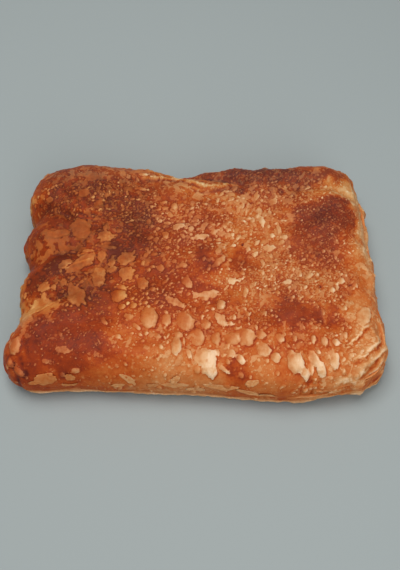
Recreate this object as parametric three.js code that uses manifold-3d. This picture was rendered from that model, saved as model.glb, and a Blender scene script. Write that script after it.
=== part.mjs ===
// A bougatsa: one baked parcel of buttered phyllo, uncut, lying flat with its blistered side up.
// Millimetres. +Z is up, +X runs along the long side and +Y towards the back edge.
// The origin is under the middle of the parcel, on the surface that it rests on.
import * as THREE from 'three';
import { mergeVertices } from 'three/addons/utils/BufferGeometryUtils.js';
import Module from 'manifold-3d';

const wasm = await Module();
wasm.setup();

// Driving dimensions
const LENGTH = 182;
const WIDTH = 134;
const LEVEL = 25.5; // the top's usual height, before its swells and hollows
const BULGE_HEIGHT = 10; // where the side stands out furthest
const FLAT_SHARE = 0.8; // how much of the way out the top stays level before it rounds over
const FOOT_SHARE = 0.07; // how much of the way in the foot is tucked under the bulge

// How finely the skin is split: cells along and across, and where the rings turn over the rim
const CELLS_LONG = 52;
const CELLS_WIDE = 40;
const RING_RIM = 0.64;
const RING_BULGE = 0.87;
const REACH_STEPS = 720;

// The outline as seen from above, in half lengths and half widths, anticlockwise from the front left
// corner. The left side is folded into four lobes, with a notch between each two.
const OUTLINE = [
  [-0.925, -0.893], [-0.62, -0.903], [-0.25, -0.925], [0.1, -0.945], [0.42, -0.985], [0.68, -0.955],
  [0.913, -0.865], [0.998, -0.66], [0.985, -0.36], [0.982, -0.04], [0.972, 0.28], [0.978, 0.62],
  [0.925, 0.915], [0.74, 1.0], [0.46, 0.985], [0.16, 0.98], [-0.1, 0.955], [-0.36, 0.985], [-0.64, 1.0],
  [-0.92, 0.93], [-1.0, 0.7], [-0.975, 0.53], [-0.945, 0.43], [-0.992, 0.27], [-0.942, 0.01],
  [-0.975, -0.16], [-0.95, -0.36], [-0.956, -0.48], [-1.012, -0.69],
];

// Swells and hollows of the top: centre x and y, half width along x and along y, rise
const SWELLS = [
  [-58, 48, 30, 22, 6.8], // the puffed corner at the back left
  [68, 29, 17, 19, 4.6], // the dark swell at the back right
  [67, 59, 16, 8, 4.8], // the lobe of the back right corner
  [-12, 61, 14, 11, -5.0], // the dip in the back edge
  [28, 61, 22, 8, 2.4], // the roll along the back edge
  [33, 28, 14, 22, -2.4], // the hollow beside the dark swell
  [-52, -42, 30, 18, 2.2], // the glossy panel at the front left
  [3, -4, 18, 20, 2.2], // the middle
  [47, -27, 14, 11, 1.8], // the orange swell at the front right
  [18, -55, 22, 9, -1.6], // the slack stretch along the front
  [-76, 14, 12, 11, 1.6], // the second lobe on the left
  [-79, -15, 9, 9, -1.8], // the low third lobe on the left
];

// Slow waves that keep the top from lying level: wavelength, bearing in degrees, phase, rise
const WAVES = [
  [39, 20, 0.4, 0.45], [29, 75, 1.9, 0.4], [23, 130, 3.1, 0.35], [17, 48, 5.0, 0.3], [15, 105, 0.9, 0.3],
];

// Creases where one fold of the dough lies against the next: the line's points, depth, half width
const CREASES = [
  [[[-90, 29], [-78, 32], [-66, 27]], 3.2, 3.2],
  [[[-88, 1], [-76, 3], [-60, 6]], 2.2, 3.0],
  [[[-89, -25], [-74, -24], [-60, -19]], 2.6, 3.0],
  [[[-14, 64], [2, 54], [24, 51]], 2.6, 3.4],
  [[[50, 47], [70, 46], [90, 36]], 2.6, 3.4],
  [[[49, -72], [51, -62], [52, -52]], 1.8, 2.6],
];

// The blisters that stand out most: centre x and y, length, breadth, turn in degrees, rise
const BLISTERS = [
  [-22.5, -32, 12, 8.6, 80, 1.9], [-15, -34.5, 7.4, 5, 80, 1.5], [-4, -35, 9.4, 8, 60, 1.8],
  [-9.2, -46.5, 8.4, 5.8, 95, 1.7], [-2.6, -51, 6.4, 3.2, 115, 1.2], [-38, -20.5, 7.6, 6.6, 60, 1.5],
  [-35.6, -26.6, 4.2, 3.8, 0, 1.2], [-30, -26.4, 4.4, 4, 0, 1.3], [-58, -20, 11, 7, 110, 1.3],
  [-47, -8.5, 8, 5.6, 100, 1.3], [-35, -7, 7, 6, 70, 1.3], [-26.5, -14, 6, 5, 120, 1.3],
  [-5, -14, 5.4, 4.2, 120, 1.2], [-8.5, -25, 9, 4.4, -25, 1.2], [-43.6, -34, 5.4, 3, -40, 1.0],
  [11.6, -26, 6, 4.6, 100, 1.7], [3.2, -36, 7.6, 6, 120, 1.4], [12.6, -34, 8.6, 5.6, -35, 1.4],
  [8.6, -42.2, 6.4, 4.8, 100, 1.6], [22, -42, 12.4, 9.8, -20, 2.0], [29.2, -42, 4.8, 4.6, 0, 1.3],
  [31.6, -47.8, 7, 6, -50, 1.5], [36.2, -52.4, 5.4, 4.6, 80, 1.6], [38.4, -43, 6, 4.2, 110, 1.3],
  [45, -43.4, 4.2, 3.2, 110, 1.3], [53.6, -43, 4.8, 3.4, 100, 1.4], [58.6, -44.8, 5.8, 3.8, 100, 1.5],
  [64, -45.4, 4.8, 3.8, 100, 1.5], [44.6, -55.6, 12, 8.4, 115, 1.9], [54.4, -54.2, 10.4, 5.6, 105, 1.7],
  [62.2, -54.6, 7.4, 4.8, 95, 1.6], [3.8, -55, 14, 8.8, 98, 1.7], [16.4, -51.4, 7.4, 4, -30, 1.2],
  [12.2, -16, 10, 5, 40, 1.3], [10.4, -0.6, 8.4, 5, 50, 1.3], [28.2, 4.6, 4.8, 4.2, 20, 1.3],
  [35.2, 6.4, 6.4, 5, 10, 1.3], [1.4, 14, 6.4, 4.4, 0, 1.2], [-12, 34.6, 5.6, 4.6, 70, 1.2],
  [-47, 14, 8, 6.4, 110, 1.2], [64.6, -16.4, 4, 3.4, 0, 1.3], [33.2, 24.4, 8, 4, 100, 1.0],
  [79, -33, 11.4, 5.8, 68, 1.4], [-79.5, -47, 8, 6, 70, 1.6],
];

// Torn flakes of the top sheets: centre x and y, length, breadth, turn in degrees
const FLAKES = [
  [-68, -55.5, 10, 6.5, 10], [-57, -55.5, 6.5, 4.5, -20], [-30, -57, 9.5, 3.4, -40], [-9, -58.5, 12, 7, -10],
  [-20, -58.5, 7, 3.4, 0], [11.6, -59, 8, 3.6, -35], [24, -60, 6, 3.6, 15], [-60, -48.5, 6.5, 4, 10],
];
const FLAKE_POINTS = 7;
const FLAKE_JAG = 0.34; // how far the teeth of a flake run in
const FLAKE_WAVER = 5; // how often, round the flake, the teeth go from deep to shallow
const FLAKE_PROUD = 0.6;
const FLAKE_SUNK = 2.4;

// Edges of the sheets that show on the sides: start and end bearing in degrees, anticlockwise from +X,
// with the height of each end
const SHEET_EDGES = [
  [-138, -98, 5.0, 6.2], [-104, -58, 6.4, 5.2], [-62, -38, 8.2, 12], [-58, -30, 5.2, 8.6],
  [-54, -24, 11.5, 17], [-47, -18, 15, 20.5], [-20, 12, 7, 9], [-4, 26, 14, 17.5],
  [30, 48, 9, 15], [58, 92, 7, 8.5], [98, 132, 9.5, 7], [150, 170, 7.5, 9], [186, 204, 6.5, 8.5],
];
const SHEET_RADIUS = 1.25;
const SHEET_PROUD = 0.35; // the edge's middle stands this far out of the side
const SHEET_DEEP = 2.2; // and its ends run this far in
const SHEET_STEPS = 11;
const SHEET_SIDES = 5;

const BLISTER_ROUND = 8;
const BLISTER_RINGS = 4;
const PROBE = 0.5; // step for reading the slope of the skin
const RING_PROBE = 0.01; // the same, down the side
const HALVINGS = 24; // how often the search for a height on the side is halved
const WELD = 1e-4; // points closer than this are one

const halfLength = LENGTH / 2;
const halfWidth = WIDTH / 2;

// The outline's reach from the middle at each bearing, read off a closed curve through its points.
const outlineCurve = new THREE.CatmullRomCurve3(
  OUTLINE.map(([x, y]) => new THREE.Vector3(x * halfLength, y * halfWidth, 0)), true);
const reachTable = outlineCurve.getPoints(REACH_STEPS)
  .map((p) => ({ bearing: Math.atan2(p.y, p.x), reach: Math.hypot(p.x, p.y) }))
  .sort((a, b) => a.bearing - b.bearing);

function reach(bearing) {
  let low = 0;
  let high = reachTable.length - 1;
  const turn = 2 * Math.PI;
  if (bearing <= reachTable[low].bearing || bearing >= reachTable[high].bearing) {
    const before = reachTable[high];
    const after = reachTable[low];
    const gap = after.bearing + turn - before.bearing;
    const ahead = bearing >= before.bearing ? bearing - before.bearing : bearing + turn - before.bearing;
    return THREE.MathUtils.lerp(before.reach, after.reach, ahead / gap);
  }
  while (high - low > 1) {
    const middle = (low + high) >> 1;
    if (reachTable[middle].bearing <= bearing) low = middle;
    else high = middle;
  }
  const a = reachTable[low];
  const b = reachTable[high];
  return THREE.MathUtils.lerp(a.reach, b.reach, (bearing - a.bearing) / (b.bearing - a.bearing || 1));
}

// Distance from a point to the line through a crease's points.
function distanceToLine(x, y, points) {
  let nearest = Infinity;
  for (let i = 1; i < points.length; i++) {
    const [ax, ay] = points[i - 1];
    const [bx, by] = points[i];
    const along = ((x - ax) * (bx - ax) + (y - ay) * (by - ay)) / ((bx - ax) ** 2 + (by - ay) ** 2);
    const t = THREE.MathUtils.clamp(along, 0, 1);
    nearest = Math.min(nearest, Math.hypot(x - ax - t * (bx - ax), y - ay - t * (by - ay)));
  }
  return nearest;
}

// Height of the top before it rounds over at the rim.
function topHeight(x, y) {
  let z = LEVEL;
  for (const [cx, cy, rx, ry, rise] of SWELLS) {
    z += rise * Math.exp(-(((x - cx) / rx) ** 2) - ((y - cy) / ry) ** 2);
  }
  for (const [wavelength, bearing, phase, rise] of WAVES) {
    const angle = THREE.MathUtils.degToRad(bearing);
    const along = x * Math.cos(angle) + y * Math.sin(angle);
    z += rise * Math.sin(2 * Math.PI * along / wavelength + phase);
  }
  for (const [points, depth, halfWide] of CREASES) {
    z -= depth * Math.exp(-((distanceToLine(x, y, points) / halfWide) ** 2));
  }
  return z;
}

// The upper skin at a bearing, share being how far out the point lies: 0 in the middle, 1 at the bulge.
function upperPoint(bearing, share) {
  const out = share * reach(bearing);
  const x = out * Math.cos(bearing);
  const y = out * Math.sin(bearing);
  const over = Math.max(0, (share - FLAT_SHARE) / (1 - FLAT_SHARE));
  const z = BULGE_HEIGHT + (topHeight(x, y) - BULGE_HEIGHT) * Math.sqrt(Math.max(0, 1 - over * over));
  return new THREE.Vector3(x, y, z);
}

// The lower skin, from the bulge (0) in under to the foot (1).
function lowerPoint(bearing, under) {
  const angle = under * Math.PI / 2;
  const out = reach(bearing) * (1 - FOOT_SHARE * (1 - Math.cos(angle)));
  const z = BULGE_HEIGHT * (1 - Math.sin(angle));
  return new THREE.Vector3(out * Math.cos(bearing), out * Math.sin(bearing), z);
}

// The skin at a bearing, ring running from 0 in the middle of the top to 1 at the foot.
function skinPoint(bearing, ring) {
  if (ring >= RING_BULGE) return lowerPoint(bearing, (ring - RING_BULGE) / (1 - RING_BULGE));
  if (ring <= RING_RIM) return upperPoint(bearing, FLAT_SHARE * ring / RING_RIM);
  const angle = (ring - RING_RIM) / (RING_BULGE - RING_RIM) * Math.PI / 2;
  return upperPoint(bearing, FLAT_SHARE + (1 - FLAT_SHARE) * Math.sin(angle));
}

// The point of the upper skin over a place on the plan, and which way it faces.
function overPlan(x, y) {
  const at = (px, py) => {
    const bearing = Math.atan2(py, px);
    return upperPoint(bearing, Math.min(1, Math.hypot(px, py) / reach(bearing)));
  };
  const point = at(x, y);
  const along = at(x + PROBE, y).sub(at(x - PROBE, y));
  const across = at(x, y + PROBE).sub(at(x, y - PROBE));
  return { point, normal: along.cross(across).normalize() };
}

// The point of the side at a bearing and a height, and which way it faces.
function overSide(bearing, height) {
  const ringAt = (wanted) => {
    let low = RING_RIM;
    let high = 1;
    for (let i = 0; i < HALVINGS; i++) {
      const middle = (low + high) / 2;
      if (skinPoint(bearing, middle).z > wanted) low = middle;
      else high = middle;
    }
    return low;
  };
  const ring = ringAt(height);
  const turn = PROBE / reach(bearing);
  const along = skinPoint(bearing + turn, ring).sub(skinPoint(bearing - turn, ring));
  const down = skinPoint(bearing, Math.min(1, ring + RING_PROBE)).sub(skinPoint(bearing, ring - RING_PROBE));
  return { point: skinPoint(bearing, ring), normal: down.cross(along).normalize() };
}

// A closed geometry as a solid that can be joined.
function solidOf(geometry) {
  const bare = geometry.clone();
  bare.deleteAttribute('normal');
  bare.deleteAttribute('uv');
  const merged = mergeVertices(bare, WELD);
  return new wasm.Manifold(new wasm.Mesh({
    numProp: 3,
    vertProperties: new Float32Array(merged.attributes.position.array),
    triVerts: new Uint32Array(merged.index.array),
  }));
}

// The parcel's skin: a sheet of cells drawn out to the outline, over the rim and in under the bulge,
// closed by a flat foot.
function parcelBody() {
  const columns = CELLS_LONG + 1;
  const rows = CELLS_WIDE + 1;
  const points = [];
  for (let j = 0; j < rows; j++) {
    for (let i = 0; i < columns; i++) {
      const u = -1 + 2 * i / CELLS_LONG;
      const v = -1 + 2 * j / CELLS_WIDE;
      const bearing = Math.atan2(v * halfWidth, u * halfLength);
      points.push(skinPoint(bearing, Math.max(Math.abs(u), Math.abs(v))));
    }
  }
  const faces = [];
  for (let j = 0; j < CELLS_WIDE; j++) {
    for (let i = 0; i < CELLS_LONG; i++) {
      const a = j * columns + i;
      const [b, c, d] = [a + 1, a + columns + 1, a + columns];
      // The cut across a cell leans the way that the rings do, so that the corners stay round.
      const risesRight = (i < CELLS_LONG / 2) === (j < CELLS_WIDE / 2);
      faces.push(...(risesRight ? [a, b, d, b, c, d] : [a, b, c, a, c, d]));
    }
  }
  const rim = [];
  for (let i = 0; i < CELLS_LONG; i++) rim.push(i);
  for (let j = 0; j < CELLS_WIDE; j++) rim.push(j * columns + CELLS_LONG);
  for (let i = CELLS_LONG; i > 0; i--) rim.push(CELLS_WIDE * columns + i);
  for (let j = CELLS_WIDE; j > 0; j--) rim.push(j * columns);
  const middle = points.push(new THREE.Vector3(0, 0, 0)) - 1;
  rim.forEach((a, k) => faces.push(middle, rim[(k + 1) % rim.length], a));
  return new THREE.BufferGeometry().setFromPoints(points).setIndex(faces);
}

// A transform that stands local +Z along the skin's normal, turned about it.
function seated({ point, normal }, turnDegrees, size = new THREE.Vector3(1, 1, 1)) {
  const lean = new THREE.Quaternion().setFromUnitVectors(new THREE.Vector3(0, 0, 1), normal);
  const turn = new THREE.Quaternion().setFromAxisAngle(
    new THREE.Vector3(0, 0, 1), THREE.MathUtils.degToRad(turnDegrees));
  return new THREE.Matrix4().compose(point, lean.multiply(turn), size);
}

// A blister: a low dome with its middle on the skin.
function blister([x, y, length, breadth, turn, rise]) {
  return new THREE.SphereGeometry(1, BLISTER_ROUND, BLISTER_RINGS)
    .rotateX(Math.PI / 2)
    .applyMatrix4(seated(overPlan(x, y), turn, new THREE.Vector3(length / 2, breadth / 2, rise)));
}

// A torn flake: a thin plate with a toothed outline, sunk in the skin.
function flake([x, y, length, breadth, turn]) {
  const corners = [];
  for (let k = 0; k < 2 * FLAKE_POINTS; k++) {
    const angle = k * Math.PI / FLAKE_POINTS;
    const out = k % 2 ? 1 - FLAKE_JAG * (1 + Math.sin(FLAKE_WAVER * angle)) / 2 : 1;
    corners.push(new THREE.Vector2(out * length / 2 * Math.cos(angle), out * breadth / 2 * Math.sin(angle)));
  }
  return new THREE.ExtrudeGeometry(new THREE.Shape(corners), {
    depth: FLAKE_SUNK + FLAKE_PROUD,
    bevelEnabled: false,
  })
    .translate(0, 0, -FLAKE_SUNK)
    .applyMatrix4(seated(overPlan(x, y), turn));
}

// The edge of a sheet on the side: a rounded ridge that comes out of the skin and goes back in.
function sheetEdge([startBearing, endBearing, startHeight, endHeight]) {
  const path = [];
  for (let k = 0; k <= SHEET_STEPS; k++) {
    const t = k / SHEET_STEPS;
    const bearing = THREE.MathUtils.degToRad(THREE.MathUtils.lerp(startBearing, endBearing, t));
    const wrapped = Math.atan2(Math.sin(bearing), Math.cos(bearing));
    const { point, normal } = overSide(wrapped, THREE.MathUtils.lerp(startHeight, endHeight, t));
    const proud = SHEET_PROUD - SHEET_DEEP * (2 * t - 1) ** 4;
    path.push(point.addScaledVector(normal, proud));
  }
  const corners = [];
  for (let k = 0; k < SHEET_SIDES; k++) {
    const angle = 2 * Math.PI * k / SHEET_SIDES;
    corners.push(new THREE.Vector2(SHEET_RADIUS * Math.cos(angle), SHEET_RADIUS * Math.sin(angle)));
  }
  return new THREE.ExtrudeGeometry(new THREE.Shape(corners), {
    steps: SHEET_STEPS,
    extrudePath: new THREE.CatmullRomCurve3(path),
  });
}

// All of it is one piece of pastry, so the blisters, flakes and sheet edges are joined to the body.
// Of what the join makes, only the outer skin is kept.
function bougatsa() {
  let joined = solidOf(parcelBody());
  const relief = [...BLISTERS.map(blister), ...FLAKES.map(flake), ...SHEET_EDGES.map(sheetEdge)];
  for (const geometry of relief) joined = joined.add(solidOf(geometry));
  const whole = joined.decompose().reduce((a, b) => (b.volume() > a.volume() ? b : a));
  const { vertProperties, triVerts } = whole.getMesh();
  const geometry = new THREE.BufferGeometry()
    .setAttribute('position', new THREE.BufferAttribute(vertProperties, 3))
    .setIndex(new THREE.BufferAttribute(triVerts, 1));
  geometry.computeBoundingBox();
  const centre = geometry.boundingBox.getCenter(new THREE.Vector3());
  geometry.translate(-centre.x, -centre.y, -geometry.boundingBox.min.z);
  geometry.computeVertexNormals();
  return geometry;
}

const crust = new THREE.MeshStandardMaterial({ color: 0xb4642c, roughness: 0.55, metalness: 0 });
const pastry = new THREE.Mesh(bougatsa(), crust);
pastry.name = 'pastry';

const part = new THREE.Group();
part.add(pastry);

export default part;
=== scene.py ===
"""The looks of the bougatsa: its blistered crust, torn flakes and sheet edges, in a small studio."""

import logging
import math
from dataclasses import dataclass
from enum import Enum
from functools import cached_property
from typing import NamedTuple

import bmesh
import bpy
import numpy as np
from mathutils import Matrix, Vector, noise


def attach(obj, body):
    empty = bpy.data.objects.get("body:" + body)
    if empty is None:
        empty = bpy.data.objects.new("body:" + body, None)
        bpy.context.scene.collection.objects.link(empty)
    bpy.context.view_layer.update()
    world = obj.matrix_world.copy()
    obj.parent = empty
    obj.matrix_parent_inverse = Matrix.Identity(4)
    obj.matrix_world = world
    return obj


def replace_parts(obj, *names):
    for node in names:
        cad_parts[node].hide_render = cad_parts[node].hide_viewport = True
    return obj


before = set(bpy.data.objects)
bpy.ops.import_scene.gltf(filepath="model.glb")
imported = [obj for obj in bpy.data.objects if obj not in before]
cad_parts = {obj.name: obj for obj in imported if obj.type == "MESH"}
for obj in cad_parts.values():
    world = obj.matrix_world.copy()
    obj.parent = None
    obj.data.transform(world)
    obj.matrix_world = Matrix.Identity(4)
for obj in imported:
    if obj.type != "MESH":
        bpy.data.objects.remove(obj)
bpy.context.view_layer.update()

LOG = logging.getLogger("bougatsa")
BODY = "root"
NODE = "pastry"
MM = 0.001
TURN = 2 * math.pi
TINY = 1e-6
SEED = 41
OUTLINE_TEETH = 9
LEAST_REACH = 0.4

Array = np.ndarray
Socket = bpy.types.NodeSocket
Layer = bmesh.types.BMLayerItem
Pair = tuple[float, float]
Line = tuple[Pair, ...]
Row = tuple[float, ...]
Ease = tuple[float, ...]
Grain = tuple[float, ...]
Sockets = tuple[tuple[str, str], ...]
Stops = tuple[tuple[float, tuple[int, int, int]], ...]


class Swell(NamedTuple):
    """A rounded rise or hollow of the top, in millimetres."""

    x: float
    y: float
    along: float
    across: float
    rise: float


class Wave(NamedTuple):
    """A slow wave over the top: wavelength and rise in millimetres, bearing in degrees."""

    wavelength: float
    bearing: float
    phase: float
    rise: float


class Crease(NamedTuple):
    """A groove where one fold of the dough lies against the next, in millimetres."""

    line: Line
    depth: float
    half_width: float


class Terrace(NamedTuple):
    """The edge of a sheet that lies over the next: the left of its line stands higher, in millimetres."""

    line: Line
    step: float
    fade: float
    pale: float


class Ridge(NamedTuple):
    """A thin fold that stands up along a line, in millimetres, and how much paler its crest is, as a painted
    highlight.
    """

    line: Line
    rise: float
    half_width: float
    pale: float


class Pit(NamedTuple):
    """A small hole in the top sheet, in millimetres, and how much darker it is."""

    x: float
    y: float
    radius: float
    depth: float
    dark: float


class Region(NamedTuple):
    """A stretch of the top, in millimetres, and what it aims at.

    Its browning runs from 0 to about 1; its film tells how much of the top sheet came loose, 0 for half of
    it; its fizz tells how many tiny blisters it has, from 0 to 1.
    """

    x: float
    y: float
    along: float
    across: float
    bake: float
    film: float
    fizz: float


class BlisterShape(NamedTuple):
    """How a blister is shaped.

    Its sway tells how far the outline leaves an oval, as a share of its size; its decay, how fast the finer
    teeth of the outline get shallower; its flatness, the power that shapes the section, higher for a flatter
    top; its tatter, how far the edge is torn in and out, in millimetres; its dark side, how pale the low side
    is, as a share of the high side. The high side is paler partly as whiter, more lifted film and partly as a
    painted highlight.
    """

    sway: float
    decay: float
    flatness: float
    tatter: float
    dark_side: float


class BlisterKind(Enum):
    """The kinds of blister: round ones, flatter and drier ones, and torn pieces of the top sheet."""

    BUBBLE = BlisterShape(0.13, 1.0, 2.4, 0.4, 0.2)
    CRUMB = BlisterShape(0.15, 0.7, 3.4, 0.5, 0.55)
    TORN = BlisterShape(0.09, 0.5, 7.0, 0.8, 0.8)


class Blister(NamedTuple):
    """A blister of the top sheet: sizes in millimetres, turn in degrees, paleness from 0 to about 1."""

    x: float
    y: float
    length: float
    breadth: float
    turn: float
    rise: float
    pale: float = 1.0
    kind: BlisterKind = BlisterKind.BUBBLE


class BlisterField(NamedTuple):
    """A stretch with many small blisters, scattered by chance: sizes in millimetres."""

    x: float
    y: float
    along: float
    across: float
    count: int
    smallest: float
    largest: float
    pale: float


class SheetEdge(NamedTuple):
    """The edge of a sheet on the side: bearings in degrees, sizes in millimetres, browning from 0 to 1."""

    start: float
    end: float
    start_height: float
    end_height: float
    proud: float
    bake: float = 0.52


class Flake(NamedTuple):
    """A torn flake lying on the crust: sizes in millimetres, turn in degrees, browning from 0 to 1."""

    x: float
    y: float
    length: float
    breadth: float
    turn: float
    bake: float


class Cloud(Enum):
    """Smooth random fields: size of the largest lumps in millimetres, layers, offset and fading."""

    TATTER = (1.9, 2, 23.0, 1.0)
    SHIFT_X = (9.0, 2, 51.0, 1.0)
    SHIFT_Y = (9.0, 2, 57.0, 1.0)
    FILM = (3.4, 3, 43.0, 0.5)
    PUCKER = (9.0, 2, 0.0, 1.0)
    ROUGH = (2.6, 2, 7.0, 1.0)
    LEAF = (2.8, 2, 3.0, 1.0)
    SCALLOP = (9.0, 1, 61.0, 1.0)
    TERRACE = (6.0, 3, 19.0, 1.0)
    RIDGE = (5.0, 3, 71.0, 1.0)
    BROWNING = (16.0, 3, 31.0, 1.0)
    LIP_SAG = (11.0, 2, 0.0, 1.0)
    LIP_WAVE = (7.0, 3, 5.0, 1.0)
    LIP_NICK = (1.8, 2, 9.0, 1.0)
    LIP_TONE = (9.0, 2, 2.0, 1.0)

    def at(self, points: Array) -> Array:
        """Reads the field.

        Args:
            points: The points to read it at, in millimetres.

        Returns:
            Values about 0, mostly between -0.5 and 0.5.
        """
        size, layers, offset, fading = self.value
        return np.array([noise.fractal(Vector(p), fading, 2.0, layers) for p in points / size + offset])


def smooth_step(low: float, high: float, value: Array) -> Array:
    """Eases from 0 to 1 between two limits.

    Args:
        low: Where the result is still 0.
        high: Where the result has become 1.
        value: The values to ease.

    Returns:
        The eased values, from 0 to 1.
    """
    share = np.clip((value - low) / (high - low), 0.0, 1.0)
    return share * share * (3.0 - 2.0 * share)


def window(opening: Pair, closing: Pair, value: Array) -> Array:
    """Eases from 0 to 1 over the opening limits and back to 0 over the closing ones."""
    return smooth_step(*opening, value) * (1.0 - smooth_step(*closing, value))


def bell(distance: Array, width: float) -> Array:
    """Falls from 1 at no distance to almost 0 at twice the width."""
    return np.exp(-((distance / width) ** 2))


def taper(share: Array, length: float) -> Array:
    """Eases in and out at the two ends of a line, each over the same share of it."""
    return smooth_step(0.0, length, share) * smooth_step(0.0, length, 1.0 - share)


def line_distance(x: Array, y: Array, line: Line) -> tuple[Array, Array]:
    """Measures how far points of the plan lie from a line of straight stretches.

    Args:
        x: The points' x, in millimetres.
        y: The points' y, in millimetres.
        line: The line's points.

    Returns:
        The distance to the line, above 0 on its left and below 0 on its right, and how far along the line
        the nearest place is, from 0 to 1.
    """
    nearest = np.full(x.shape, np.inf)
    side = np.ones(x.shape)
    share = np.zeros(x.shape)
    stretches = len(line) - 1
    for index in range(stretches):
        ax, ay = line[index]
        bx, by = line[index + 1]
        dx, dy = bx - ax, by - ay
        along = np.clip(((x - ax) * dx + (y - ay) * dy) / (dx * dx + dy * dy), 0.0, 1.0)
        off_x = x - ax - along * dx
        off_y = y - ay - along * dy
        distance = np.hypot(off_x, off_y)
        closer = distance < nearest
        nearest = np.where(closer, distance, nearest)
        side = np.where(closer, np.where(dx * off_y - dy * off_x >= 0.0, 1.0, -1.0), side)
        share = np.where(closer, (index + along) / stretches, share)
    return nearest * side, share


def axes_on(facing: Array) -> tuple[Array, Array]:
    """Finds two axes that lie in the skin.

    Args:
        facing: The unit vector that the skin faces along.

    Returns:
        The unit vectors to the right and to the back.
    """
    right = np.array((1.0, 0.0, 0.0)) - facing * facing[0]
    right /= np.linalg.norm(right)
    return right, np.cross(facing, right)


def ragged_outline(angle: Array, phases: Array, kind: BlisterKind) -> Array:
    """Gives an outline that leaves a circle by chance.

    Args:
        angle: The bearings to read it at, in radians.
        phases: One angle for each number of teeth, from two up.
        kind: How ragged the outline is.

    Returns:
        The outline's reach, about 1.
    """
    reach = np.ones(angle.shape)
    for teeth, phase in enumerate(phases, 2):
        reach = reach + kind.value.sway * teeth ** -kind.value.decay * np.sin(teeth * angle + phase)
    return np.clip(reach, LEAST_REACH, None)


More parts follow.
